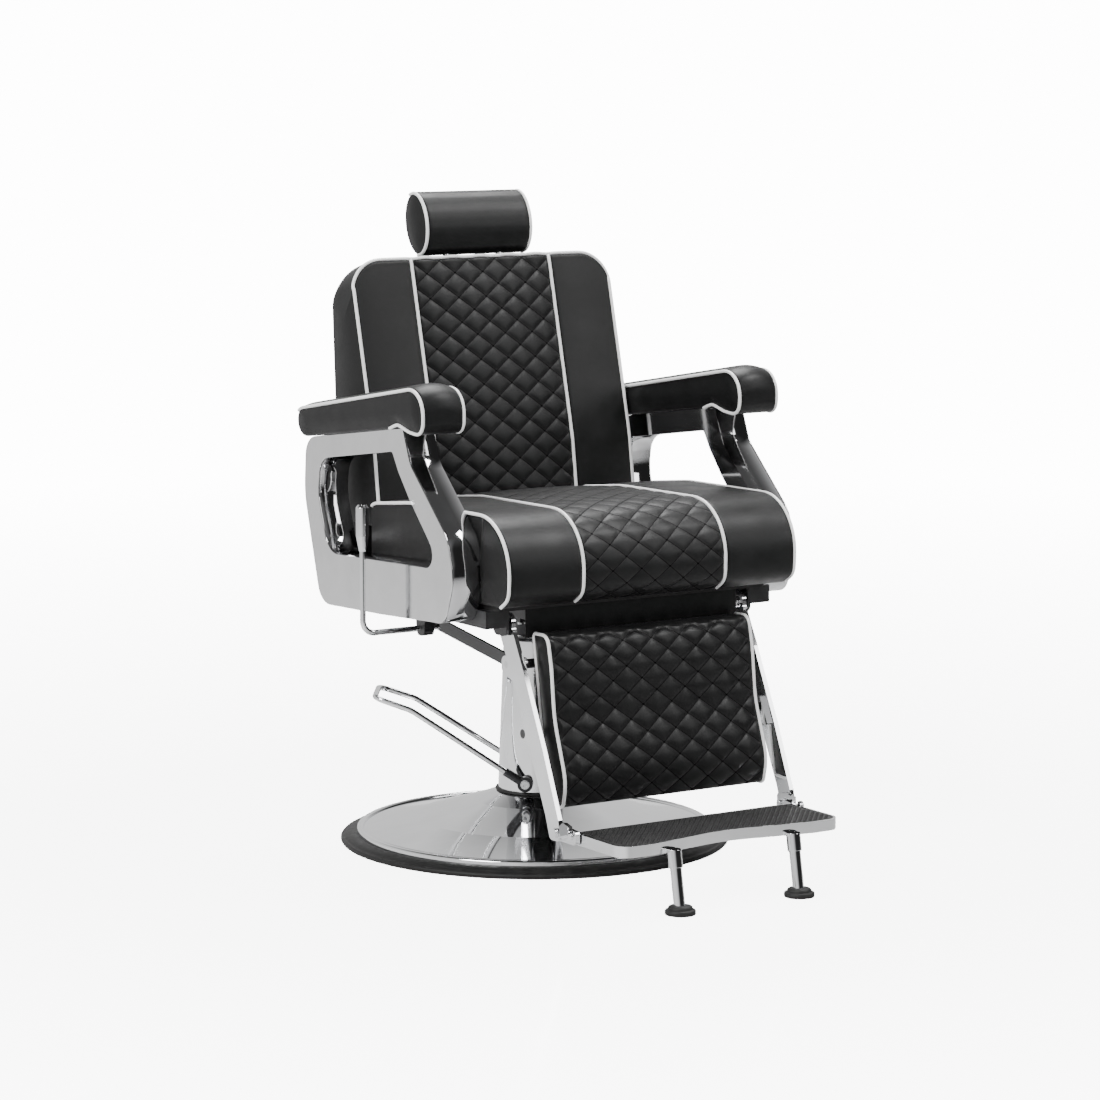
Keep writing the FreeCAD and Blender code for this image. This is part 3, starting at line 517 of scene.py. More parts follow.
def rounded_outline(corners: list[Corner], step: float) -> tuple[np.ndarray, np.ndarray]:
    """A closed outline through clockwise corners, each turned into a tangent arc, at even steps.

    An arc of radius r at a corner of half-angle h starts r / tan(h) from the corner along both sides,
    and its centre lies r / sin(h) from the corner along the line that halves it.

    Args:
        corners: The corners as (y, z, radius).
        step: The wanted distance between points.

    Returns:
        The points, and the distance along the outline at which each corner's arc has its middle.
    """
    at = np.array([corner[:2] for corner in corners], float)
    radii = np.array([corner[2] for corner in corners], float)
    pieces, middles = [], []
    for i, radius in enumerate(radii):
        back = at[i - 1] - at[i]
        onward = at[(i + 1) % len(at)] - at[i]
        back, onward = back / np.linalg.norm(back), onward / np.linalg.norm(onward)
        half = math.acos(float(np.clip(back @ onward, -1, 1))) / 2
        start = at[i] + back * radius / math.tan(half)
        end = at[i] + onward * radius / math.tan(half)
        way = (back + onward) / np.linalg.norm(back + onward)
        centre = at[i] + way * radius / math.sin(half)
        turn = np.linspace(0, 1, 17)[:, None]
        chord = start + (end - start) * turn - centre
        arc = centre + radius * chord / np.linalg.norm(chord, axis=1, keepdims=True)
        middles.append(sum(len(piece) for piece in pieces) + 8)
        pieces.append(arc)
    dense = np.vstack(pieces)
    closed = np.vstack([dense, dense[:1]])
    reach = np.concatenate([[0], np.cumsum(np.linalg.norm(np.diff(closed, axis=0), axis=1))])
    count = 2 * round(reach[-1] / step / 2)
    wanted = np.arange(count) * reach[-1] / count
    points = np.stack([np.interp(wanted, reach, closed[:, k]) for k in (0, 1)], axis=1)
    return points, reach[np.array(middles)]


def refine_rows(grid: np.ndarray, times: int, wrap: bool) -> np.ndarray:
    """Put smooth in-between rows into a grid by cubic (Catmull-Rom) interpolation along its first axis.

    Args:
        grid: Points, rows by columns by k.
        times: How many rows each one becomes.
        wrap: Whether the last row is followed by the first.

    Returns:
        The finer grid.
    """
    count = len(grid)
    total = count * times if wrap else (count - 1) * times + 1
    place = np.arange(total) / times
    base = np.minimum(place.astype(int), count - (1 if wrap else 2))
    t = (place - base)[:, None, None]
    numbers = [base + k for k in (-1, 0, 1, 2)]
    numbers = [n % count if wrap else np.clip(n, 0, count - 1) for n in numbers]
    a, b, c, d = (grid[n] for n in numbers)
    return b + 0.5 * t * (c - a + t * (2 * a - 5 * b + 4 * c - d + t * (3 * (b - c) + d - a)))


def refine(grid: np.ndarray, times: int) -> np.ndarray:
    """Refine a grid both ways; its columns run round a closed outline."""
    finer = refine_rows(grid, times, False)
    return refine_rows(finer.transpose(1, 0, 2), times, True).transpose(1, 0, 2)


def grid_normals(grid: np.ndarray) -> np.ndarray:
    """Outward unit normals of a grid whose columns run round a closed outline."""
    along = np.gradient(grid, axis=0)
    around = np.roll(grid, -1, axis=1) - np.roll(grid, 1, axis=1)
    normal = np.cross(along, around)
    return normal / np.maximum(np.linalg.norm(normal, axis=2, keepdims=True), 1e-12)


def carried_frames(path: np.ndarray, closed: bool) -> tuple[np.ndarray, np.ndarray]:
    """Two unit directions across a path at each point, turned as little as possible along it.

    The first is the path's tangent crossed with a fixed direction that the path never follows, which
    keeps the cross-section from spinning.

    Args:
        path: Points, n by 3.
        closed: Whether the last point is followed by the first.

    Returns:
        The two directions, each n by 3.
    """
    if closed:
        tangent = np.roll(path, -1, axis=0) - np.roll(path, 1, axis=0)
    else:
        tangent = np.gradient(path, axis=0)
    tangent /= np.linalg.norm(tangent, axis=1, keepdims=True)
    spread = np.abs(tangent).mean(axis=0)
    fixed = np.eye(3)[int(np.argmin(spread))]
    first = np.cross(tangent, fixed)
    weak = np.linalg.norm(first, axis=1) < 0.2
    first[weak] = np.cross(tangent[weak], np.roll(fixed, 1))
    first /= np.linalg.norm(first, axis=1, keepdims=True)
    return first, np.cross(tangent, first)


def tube(name: str, path: np.ndarray, radius: float, closed: bool = False,
         sides: int = 10) -> bpy.types.Object:
    """A round tube along a path: each point plus radius times a circle in the two directions across it.

    Args:
        name: The piece's name.
        path: Points, n by 3.
        radius: The tube's radius.
        closed: Whether the tube is a ring.
        sides: Points round its section.

    Returns:
        The tube, closed by a flat end at each open end.
    """
    first, second = carried_frames(path, closed)
    turn = np.linspace(0, 2 * math.pi, sides, endpoint=False)
    ring = np.cos(turn)[None, :, None] * first[:, None] + np.sin(turn)[None, :, None] * second[:, None]
    points = path[:, None] + radius * ring
    faces = grid_faces(len(path), sides, closed, True).tolist()
    if not closed:
        faces += [list(range(sides))[::-1], [(len(path) - 1) * sides + k for k in range(sides)]]
    made = mesh_object(name, points, faces)
    outward(made)
    return made


def eased(path: np.ndarray, passes: int = 10) -> np.ndarray:
    """Smooth an open path: each inner point moves to (before + 2 * itself + after) / 4, several times.

    Args:
        path: Points, n by 3.
        passes: How often they move.

    Returns:
        The smoothed points; the first and the last stay.
    """
    for _ in range(passes):
        path = np.vstack([path[:1], (path[:-2] + 2 * path[1:-1] + path[2:]) / 4, path[-1:]])
    return path


def outward(obj: bpy.types.Object) -> None:
    """Turn a closed mesh's faces outwards."""
    shape = bmesh.new()
    shape.from_mesh(obj.data)
    bmesh.ops.remove_doubles(shape, verts=shape.verts, dist=1e-7)
    bmesh.ops.recalc_face_normals(shape, faces=shape.faces)
    shape.to_mesh(obj.data)
    shape.free()


def lathe(name: str, profile: np.ndarray, segments: int = 192) -> bpy.types.Object:
    """A surface of revolution about Z: each profile point (radius, height) carried round a circle.

    Args:
        name: The piece's name.
        profile: A closed run of points, n by 2.
        segments: Steps round the circle.

    Returns:
        The turned piece.
    """
    turn = np.linspace(0, 2 * math.pi, segments, endpoint=False)
    radius, height = profile[:, 0][:, None], profile[:, 1][:, None]
    points = np.stack([radius * np.cos(turn), radius * np.sin(turn), height + 0 * turn], axis=2)
    made = mesh_object(name, points, grid_faces(len(profile), segments, True, True))
    outward(made)
    return made


def join(name: str, parts: list[bpy.types.Object]) -> bpy.types.Object:
    """Join several mesh objects into one piece."""
    shape = bmesh.new()
    for part in parts:
        shape.from_mesh(part.data)
        bpy.data.objects.remove(part)
    mesh = bpy.data.meshes.new(name)
    shape.to_mesh(mesh)
    shape.free()
    mesh.polygons.foreach_set("use_smooth", [True] * len(mesh.polygons))
    obj = bpy.data.objects.new(name, mesh)
    bpy.context.scene.collection.objects.link(obj)
    return obj


def shade_by_angle(obj: bpy.types.Object, degrees: float = 32.0) -> None:
    """Mark edges sharper than an angle, so that flat faces and round ones both shade truly."""
    shape = bmesh.new()
    shape.from_mesh(obj.data)
    limit = math.radians(degrees)
    for edge in shape.edges:
        edge.smooth = not (edge.is_manifold and edge.calc_face_angle(0.0) > limit)
    shape.to_mesh(obj.data)
    shape.free()
    obj.data.polygons.foreach_set("use_smooth", [True] * len(obj.data.polygons))


def inflate(grid: np.ndarray, faces: list, pins: np.ndarray, cap: float,
            pressure: float = 4.0, frames: int = 20) -> np.ndarray:
    """Blow up a closed cover by cloth simulation with inside pressure, and hold its seams.

    Each point's movement d is shortened to cap * tanh(|d| / cap).

    Args:
        grid: The cover's points, rows by columns by 3.
        faces: Its faces.
        pins: How firmly each point is held, from 0 to 1, rows by columns.
        cap: The farthest that a point may move.
        pressure: The inside pressure.
        frames: How long the simulation runs.

    Returns:
        The moved points, in the same order.
    """
    obj = mesh_object("inflating", grid, faces)
    group = obj.vertex_groups.new(name="held")
    weights = pins.ravel()
    for level in np.unique(weights.round(2)):
        if level > 0:
            group.add(np.flatnonzero(weights.round(2) == level).tolist(), float(level), "REPLACE")
    cloth = obj.modifiers.new("cloth", "CLOTH")
    cloth.settings.quality = 4
    cloth.settings.mass = 0.25
    cloth.settings.tension_stiffness = 20
    cloth.settings.compression_stiffness = 20
    cloth.settings.shear_stiffness = 10
    cloth.settings.bending_stiffness = 2
    cloth.settings.use_pressure = True
    cloth.settings.uniform_pressure_force = pressure
    cloth.settings.effector_weights.gravity = 0
    cloth.settings.vertex_group_mass = "held"
    cloth.collision_settings.use_collision = False
    scene = bpy.context.scene
    for number in range(1, frames + 1):
        scene.frame_set(number)
    evaluated = obj.evaluated_get(bpy.context.evaluated_depsgraph_get())
    moved = np.empty(grid.size)
    evaluated.data.vertices.foreach_get("co", moved)
    scene.frame_set(1)
    bpy.data.objects.remove(obj)
    shift = moved.reshape(grid.shape) - grid
    length = np.linalg.norm(shift, axis=2, keepdims=True)
    return grid + shift * (cap * np.tanh(length / cap) / np.maximum(length, 1e-9))


# Upholstery ---------------------------------------------------------------------------------------

@dataclass
class Pad:
    """A boxed cushion: a side outline carried across the chair, with sewn seams, quilting and piping.

    A span is a pair of corner numbers: the columns from the first corner on to the second. Seams stand
    at their x. Quilting rises from quilt_level, the share of its height that lies below the plain cover.
    Past narrow_y the cover is no wider than narrow_half, to pass between the arm frames.
    """

    name: str
    body: str
    nodes: tuple[str, ...]
    corners: list[Corner]
    centre_x: float
    half: float
    edge: float = 9 * MM
    step: float = 8 * MM
    finer: int = 3
    puff: float = 9 * MM
    dome: float = 4 * MM
    most_shrunk: float = 0.94
    crown: float = 0.0
    seams: tuple[float, ...] = ()
    ring_piping: bool = False
    edge_span: tuple[int, int] | None = None
    seam_span: tuple[int, int] | None = None
    quilt_half: float = 0.0
    quilt_span: tuple[int, int] | None = None
    quilt_height: float = 3.6 * MM
    quilt_level: float = 0.55
    seam_width: float = 3.2 * MM
    piping: float = 3.0 * MM
    seam_lift: float = 1.4 * MM
    edge_lift: float = 1.2 * MM
    fill: float = 0.7
    corner_round: float = 0.0
    press_reach: float = 2.2
    groove_width: float = 4.5 * MM
    groove_depth: float = 1.6 * MM
    narrow_half: float | None = None
    narrow_y: float = -0.296

    def rows(self) -> tuple[np.ndarray, np.ndarray, np.ndarray]:
        """Where the rows stand across the pad.

        Returns:
            Each row's x from the centre, how far its outline is drawn in, and how far it has shrunk
            towards the outline's middle line.
        """
        inside = self.half - self.edge
        level = self.half - self.corner_round if self.corner_round else inside
        cuts = [-level, *sorted(self.seams), level]
        across = np.concatenate([
            np.linspace(a, b, max(2, round((b - a) / self.step)), endpoint=False)
            for a, b in zip(cuts[:-1], cuts[1:])
        ] + [[level]])
        if self.corner_round:
            full = math.asin(1 - self.edge / self.corner_round)
            bend = level + self.corner_round * np.sin(np.linspace(0, full, 9)[1:])
            across = np.concatenate([-bend[::-1], across, bend])
        turn = np.radians([90, 60, 30])
        round_x = inside + self.edge * np.sin(turn)
        round_in = self.edge * (1 - np.cos(turn))
        shrink = np.linspace(self.most_shrunk, 0, self.cap_rows(), endpoint=False)
        cap_x = np.full(len(shrink), self.half)
        cap_in = np.full(len(shrink), self.edge)
        x = np.concatenate([-cap_x, -round_x, across, round_x[::-1], cap_x])
        inset = np.concatenate([cap_in, round_in, 0 * across, round_in[::-1], cap_in])
        shrunk = np.concatenate([shrink, 0 * round_x, 0 * across, 0 * round_x, shrink[::-1]])
        return x, inset, shrunk

    def cap_rows(self) -> int:
        """How many rows fill an end panel."""
        tall = min(np.ptp([c[0] for c in self.corners]), np.ptp([c[1] for c in self.corners]))
        return int(np.clip(round(tall / 2 / self.step), 4, 8))

    def middle_line(self, outline: np.ndarray) -> np.ndarray:
        """The nearest point of the outline's own middle line to each of its points."""
        centre = outline.mean(axis=0)
        around = outline - centre
        vectors = np.linalg.eigh(around.T @ around)[1]
        long_way = vectors[:, 1]
        reach = around @ long_way
        half_long = np.ptp(reach) / 2
        half_wide = np.ptp(around @ vectors[:, 0]) / 2
        keep = max(half_long - half_wide, 0.0)
        along = np.clip(reach, -keep, keep)
        return centre + along[:, None] * long_way

    def cover(self) -> tuple[np.ndarray, np.ndarray, np.ndarray, np.ndarray]:
        """The cover's starting shape: the outline, drawn in at the rounded edges, at each row's x.

        Returns:
            The grid of points, each row's x, each column's distance along the outline, and the marks
            of the corners along it.
        """
        outline, marks = rounded_outline(self.corners, self.step)
        ahead = np.roll(outline, -1, axis=0) - np.roll(outline, 1, axis=0)
        ahead /= np.linalg.norm(ahead, axis=1, keepdims=True)
        normal = np.stack([-ahead[:, 1], ahead[:, 0]], axis=1)
        x, inset, shrunk = self.rows()
        drawn = outline[None] - inset[:, None, None] * normal[None]
        middle = self.middle_line(outline)
        flat = drawn + shrunk[:, None, None] * (middle[None] - drawn)
        share = np.clip(1 - (x / self.half) ** 2, 0, 1)
        upward = np.clip(normal[:, 1:] + 0.3, 0, 1)
        flat = flat + (self.crown * share)[:, None, None] * (normal * upward)[None]
        across = np.broadcast_to((self.centre_x + x)[:, None, None], flat.shape[:2] + (1,))
        grid = np.concatenate([across, flat], axis=2)
        length = np.linalg.norm(np.roll(outline, -1, axis=0) - outline, axis=1).sum()
        along = np.arange(len(outline)) * length / len(outline)
        return self.shape_top(grid), x, along, marks

    def shape_top(self, grid: np.ndarray) -> np.ndarray:
        """Round the pad's upper corners.

        Near each side the part above z0, which lies press_reach radii under the sloping top, is pressed
        towards z0 by 1 - (1 - sqrt(1 - u * u)) / press_reach, where u grows from 0 to 1 over the radius.
        The top's edge then follows a round arc. Each point keeps its share of the way from the front
        face's line to the rear face's, so both faces stay flat.

        Args:
            grid: The cover's points.

        Returns:
            The rounded points.
        """
        if not self.corner_round:
            return grid
        radius = self.corner_round
        beyond = np.abs(grid[..., 0] - self.centre_x) - (self.half - radius)
        u = np.clip(beyond / radius, 0, 0.995)
        z = grid[..., 2]
        front_low, front_top, rear_top, rear_low = self.corners[1:5]
        share = self.line(front_low, front_top, z)
        share = (grid[..., 1] - share) / (self.line(rear_low, rear_top, z) - share)
        reach = self.press_reach
        base = front_top[1] + np.clip(share, 0, 1) * (rear_top[1] - front_top[1]) - reach * radius
        lower = np.where(z > base, base + (z - base) * (1 - (1 - np.sqrt(1 - u * u)) / reach), z)
        front = self.line(front_low, front_top, lower)
        rear = self.line(rear_low, rear_top, lower)
        return np.stack([grid[..., 0], front + share * (rear - front), lower], axis=2)

    def line(self, one: Corner, other: Corner, z: np.ndarray) -> np.ndarray:
        """Each height's y on the straight line through two corners."""
        return one[0] + (other[0] - one[0]) * (z - one[1]) / (other[1] - one[1])

    def span(self, along: np.ndarray, marks: np.ndarray, span: tuple[int, int] | None) -> np.ndarray:
        """Which columns lie between two marked corners, going forward from the first."""
        if span is None:
            return np.ones(len(along), bool)
        start, end = marks[span[0]], marks[span[1]]
        if start <= end:
            return (along >= start) & (along <= end)
        return (along >= start) | (along <= end)

    def faces(self, rows: int, columns: int) -> list:
        """The cover's quads and its two end faces."""
        faces = grid_faces(rows, columns, False, True).tolist()
        last = (rows - 1) * columns
        return faces + [list(range(columns)), [last + k for k in range(columns)][::-1]]

    def pins(self, x: np.ndarray, held_columns: np.ndarray) -> np.ndarray:
        """How firmly each point is held.

        Args:
            x: Each row's place across.
            held_columns: The columns that aren't free.

        Returns:
            1 at seams, edges and a round-cornered pad's held columns, 0.9 at other held columns, 0 else.
        """
        held = np.zeros((len(x), len(held_columns)))
        held[:, held_columns] = 1.0 if self.corner_round else 0.9
        for seam in self.seams:
            held[np.argmin(np.abs(x - seam))] = 1.0
        held[np.abs(x) >= self.half - self.edge - 1e-9] = 1.0
        return held

    def quilting(self, x: np.ndarray, along: np.ndarray,
                 marks: np.ndarray) -> tuple[np.ndarray, np.ndarray]:
        """Height and mask of the diamond quilting.

        With p = x / wide + s / tall and q = x / wide - s / tall, the seams lie where p or q is whole. A
        point's distances to the nearest seam of each family are a and b. The height is three tenths of a
        plateau (1 - exp(-(a / w)^2)) * (1 - exp(-(b / w)^2)) and seven tenths of a dome
        (|sin(pi p)| * |sin(pi q)|)^0.75, which is level where two seams cross.

        Args:
            x: Each row's place across.
            along: Each column's place along the outline.
            marks: The corners' places.

        Returns:
            The height from 0 to 1 and the panel's mask, both rows by columns.
        """
        leather = LeatherFinish()
        steep = math.hypot(1 / leather.diamond_wide, 1 / leather.diamond_tall)
        p = x[:, None] / leather.diamond_wide + along[None] / leather.diamond_tall
        q = x[:, None] / leather.diamond_wide - along[None] / leather.diamond_tall
        a, b = (np.abs(k - np.round(k)) / steep for k in (p, q))
        plateau = (1 - np.exp(-((a / self.seam_width) ** 2))) * (1 - np.exp(-((b / self.seam_width) ** 2)))
        dome = (np.abs(np.sin(math.pi * p)) * np.abs(np.sin(math.pi * q))) ** 0.75
        across = np.clip((self.quilt_half - np.abs(x)) / (4 * MM), 0, 1)[:, None]
        mask = across * self.span(along, marks, self.quilt_span)[None]
        return 0.3 * plateau + 0.7 * dome, mask

    def dome_ends(self, flat: np.ndarray, blown: np.ndarray) -> np.ndarray:
        """Give the end panels an even dome: x grows by dome * sin(pi / 2 * s), s being the shrinkage.

        Args:
            flat: The cover's starting points.
            blown: The inflated points.

        Returns:
            The inflated points with the end panels' rows put back and domed.
        """
        shrunk = self.rows()[2]
        out = np.where(shrunk[:, None, None] > 0, flat, blown)
        side = np.sign(out[:, :1, 0] - self.centre_x)
        out[..., 0] += side * (self.dome * np.sin(math.pi / 2 * shrunk))[:, None]
        return out

    def held_columns(self, along: np.ndarray, marks: np.ndarray) -> np.ndarray:
        """The columns that don't lie between the edge span's corners, such as those on the board."""
        if self.edge_span is None:
            return np.zeros(len(along), bool)
        free = self.span(along, marks, self.edge_span)
        return ~(free & np.roll(free, -1)) if self.corner_round else ~free

    def build(self, finishes: Finishes) -> bpy.types.Object:
        """Make the cover and its piping.

        Args:
            finishes: The chair's finishes.

        Returns:
            The padded piece.
        """
        grid, x, along, marks = self.cover()
        pins = self.pins(x, self.held_columns(along, marks))
        blown = inflate(grid, self.faces(*grid.shape[:2]), pins, self.puff)
        out = refine(self.dome_ends(grid, blown), self.finer)
        if self.narrow_half:
            narrow = np.clip(out[..., 0], -self.narrow_half, self.narrow_half)
            out[..., 0] = np.where(out[..., 1] > self.narrow_y, narrow, out[..., 0])
        fine_x = refine_rows(x[:, None, None], self.finer, False)[:, 0, 0]
        length = along[1] * len(along)
        fine_along = np.arange(len(along) * self.finer) * length / (len(along) * self.finer)
        normal = grid_normals(out)
        quilt = np.zeros(out.shape[:2])
        if self.quilt_half:
            height, quilt = self.quilting(fine_x, fine_along, marks)
            out = out + normal * ((height - self.quilt_level) * quilt * self.quilt_height)[..., None]
        dips = [np.exp(-((fine_x - seam_x) / self.groove_width) ** 2) for seam_x in self.seams]
        groove = sum(dips, np.zeros(len(fine_x)))
        columns = self.span(fine_along, marks, self.seam_span)
        out = out - normal * (self.groove_depth * groove[:, None] * columns[None])[..., None]
        piece = mesh_object(self.name, out, self.faces(*out.shape[:2]))
        self.store(piece, "panel_x", np.broadcast_to(fine_x[:, None], quilt.shape))
        self.store(piece, "panel_s", np.broadcast_to(fine_along[None], quilt.shape))
        self.store(piece, "quilt", quilt)
        finishes.dress(piece, "black_leather")
        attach(piece, self.body)
        if self.nodes:
            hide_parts(*self.nodes)
        LOG.info("pad %s, %d faces", self.name, len(piece.data.polygons))
        if self.edge_span:
            self.build_piping(out, normal, fine_x, fine_along, marks, finishes)
        return piece

    def store(self, piece: bpy.types.Object, name: str, values: np.ndarray) -> None:
        """Keep a number at each point of the mesh for its finish."""
        made = piece.data.attributes.new(name, "FLOAT", "POINT")
        made.data.foreach_set("value", np.ascontiguousarray(values, dtype=np.float32).ravel())

    def build_piping(self, grid: np.ndarray, normal: np.ndarray, x: np.ndarray, along: np.ndarray,
                     marks: np.ndarray, finishes: Finishes) -> None:
        """Lay piping along the seams and the edges.

        Args:
            grid: The finished cover's points.
            normal: Its normals.
            x: Each row's place across.
            along: Each column's place along the outline.
            marks: The corners' places.
            finishes: The chair's finishes.
        """
        tubes = []
        for seam in self.seams:
            row = int(np.argmin(np.abs(x - seam)))
            columns = self.order(along, marks, self.seam_span)
            path = grid[row, columns] + normal[row, columns] * self.seam_lift
            tubes.append(tube(self.name + "_seam", eased(path), self.piping))
        lifted = grid + normal * self.edge_lift
        right, left = (int(np.argmin(np.abs(x - place))) for place in self.piped_edges())
        columns = self.order(along, marks, self.edge_span)
        if self.ring_piping:
            rings = [lifted[row] for row in (right, left)]
            tubes += [tube(self.name + "_ring", ring, self.piping, True) for ring in rings]
        elif self.corner_round:
            over = lifted[right + 1:left, columns[-1]]
            path = np.vstack([lifted[right, columns], over, lifted[left, columns[::-1]]])
            tubes.append(tube(self.name + "_edge", eased(path), self.piping))
        else:
            runs = [eased(lifted[row, columns]) for row in (right, left)]
            tubes += [tube(self.name + "_edge", run, self.piping) for run in runs]
        piping = join(self.name + "_piping", tubes)
        finishes.dress(piping, "white_piping")
        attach(piping, self.body)
        LOG.info("piping of %s", self.name)

    def piped_edges(self) -> tuple[float, float]:
        """How far across the two edge pipings stand."""
        return -self.half + self.edge * 0.35, self.half - self.edge * 0.35

    def order(self, along: np.ndarray, marks: np.ndarray, span: tuple[int, int] | None) -> np.ndarray:
        """The columns of a span in the order in which a piping runs through them."""
        found = np.flatnonzero(self.span(along, marks, span))
        gap = np.flatnonzero(np.diff(found) > 1)
        return np.roll(found, -(gap[0] + 1)) if len(gap) else found


def make_pads() -> list[Pad]:
    """Every cushion, with its sizes taken from the CAD solid that it stands for.

    Returns:
        The pads, not yet built.
    """
    pads = []
    low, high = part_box("seat_cushion")
    panel = 144 * MM
    pads.append(Pad(
        "seat_upholstery", "seat", ("seat_cushion",),
        [
            (low.y + 0.030, low.z, 0.010),
            (low.y + 0.002, low.z + 0.018, 0.025),
            (low.y - 0.004, high.z - 0.005, 0.095),
            (high.y - 0.136, high.z - 0.010, 0.300),
            (high.y, high.z - 0.025, 0.018),
            (high.y, low.z, 0.010),
        ],
        0.0, high.x + 6 * MM, seams=(-panel, panel), edge_span=(0, 4), seam_span=(0, 4),
        quilt_half=panel, quilt_span=(0, 4), puff=12 * MM, fill=0.8, narrow_half=0.2885, edge=8 * MM,
        quilt_height=1.9 * MM,
    ))
    low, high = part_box("back_cushion")
    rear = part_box("back_panel")[1].y
    pads.append(Pad(
        "back_upholstery", "back", ("back_cushion", "back_panel"),
        [
            (low.y - 0.002, low.z, 0.014),
            (low.y + 0.017, low.z + 0.134, 0.300),
            (low.y + 0.098, high.z + 0.006, 0.006),
            (rear + 0.008, high.z - 0.014, 0.036),
            (rear - 0.015, low.z, 0.014),
        ],
        0.0, high.x, seams=(-panel, panel), edge_span=(0, 2), seam_span=(0, 2), edge=5 * MM,
        quilt_half=panel, quilt_span=(0, 2), puff=10 * MM, fill=0.8, corner_round=0.060,
        quilt_height=2.9 * MM,
    ))
    pads.append(Pad(
        "back_skirt", "back", (),
        [
            (low.y + 0.056, low.z - 0.058, 0.014),
            (low.y + 0.056, low.z + 0.010, 0.004),
            (rear - 0.024, low.z + 0.010, 0.004),
            (rear - 0.034, low.z - 0.058, 0.020),
        ],
        0.0, high.x - 4 * MM, puff=3 * MM, fill=0.6, edge=4 * MM,
    ))
    low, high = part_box("legrest_pad")
    pads.append(Pad(
        "legrest_upholstery", "legrest", ("legrest_pad",),
        [
            (high.y - 0.049, low.z + 0.002, 0.008),
            (low.y + 0.007, low.z, 0.012),
            (low.y - 0.003, low.z + 0.045, 0.080),
            (high.y - 0.064, high.z - 0.141, 0.200),
            (high.y - 0.055, high.z - 0.058, 0.120),
            (high.y - 0.043, high.z - 0.003, 0.020),
            (high.y + 0.001, high.z - 0.004, 0.006),
        ],
        0.0, high.x, edge_span=(1, 6), quilt_half=high.x - 7 * MM, quilt_span=(1, 5), puff=7 * MM,
        fill=0.7, ring_piping=True, step=7 * MM, edge=6 * MM, quilt_height=4.4 * MM,
    ))
    for side in ("right", "left"):
        low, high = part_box(side + "_armrest_pad")
        middle = (low.x + high.x) / 2
        pads.append(Pad(
            side + "_armrest_upholstery", "seat", (side + "_armrest_pad",),
            [
                (low.y + 0.112, low.z + 0.040, 0.004),
                (low.y + 0.084, low.z + 0.050, 0.012),
                (low.y + 0.046, low.z + 0.040, 0.020),
                (low.y, low.z + 0.036, 0.020),
                (low.y - 0.001, high.z + 0.008, 0.042),
                (high.y - 0.001, low.z + 0.049, 0.021),
                (high.y, low.z - 0.002, 0.027),
            ],
            middle, (high.x - low.x) / 2, puff=7 * MM, crown=9 * MM, edge_span=(0, 5), fill=0.8,
            step=5 * MM, finer=2, edge=6 * MM,
        ))
    return pads


@dataclass
class Headrest:
    """The oval headrest roll, piped round the front of both ends."""

    name: str = "headrest_upholstery"
    lean: float = math.radians(15)
    long_half: float = 58 * MM
    short_half: float = 40 * MM

    def build(self, finishes: Finishes) -> None:
        """Make the roll: the ellipse (long_half * sin t, short_half * cos t) carried across, as a pad.

        Args:
            finishes: The chair's finishes.
        """
        low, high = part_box("headrest_pad")
        centre = (low + high) / 2
        turn = np.linspace(0, 2 * math.pi, 24, endpoint=False)
        u, v = self.long_half * np.sin(turn), self.short_half * np.cos(turn)
        y = centre.y + u * math.sin(self.lean) + v * math.cos(self.lean)
        z = centre.z + u * math.cos(self.lean) - v * math.sin(self.lean)
        corners = [(float(a), float(b), 0.020) for a, b in zip(y[::-1], z[::-1])]
        pad = Pad(self.name, "headrest", ("headrest_pad",), corners, 0.0, high.x, edge=9 * MM, step=5 * MM,
                  finer=2, puff=6 * MM, fill=0.85, edge_span=(4, 18))
        pad.build(finishes)


# Metalwork ----------------------------------------------------------------------------------------

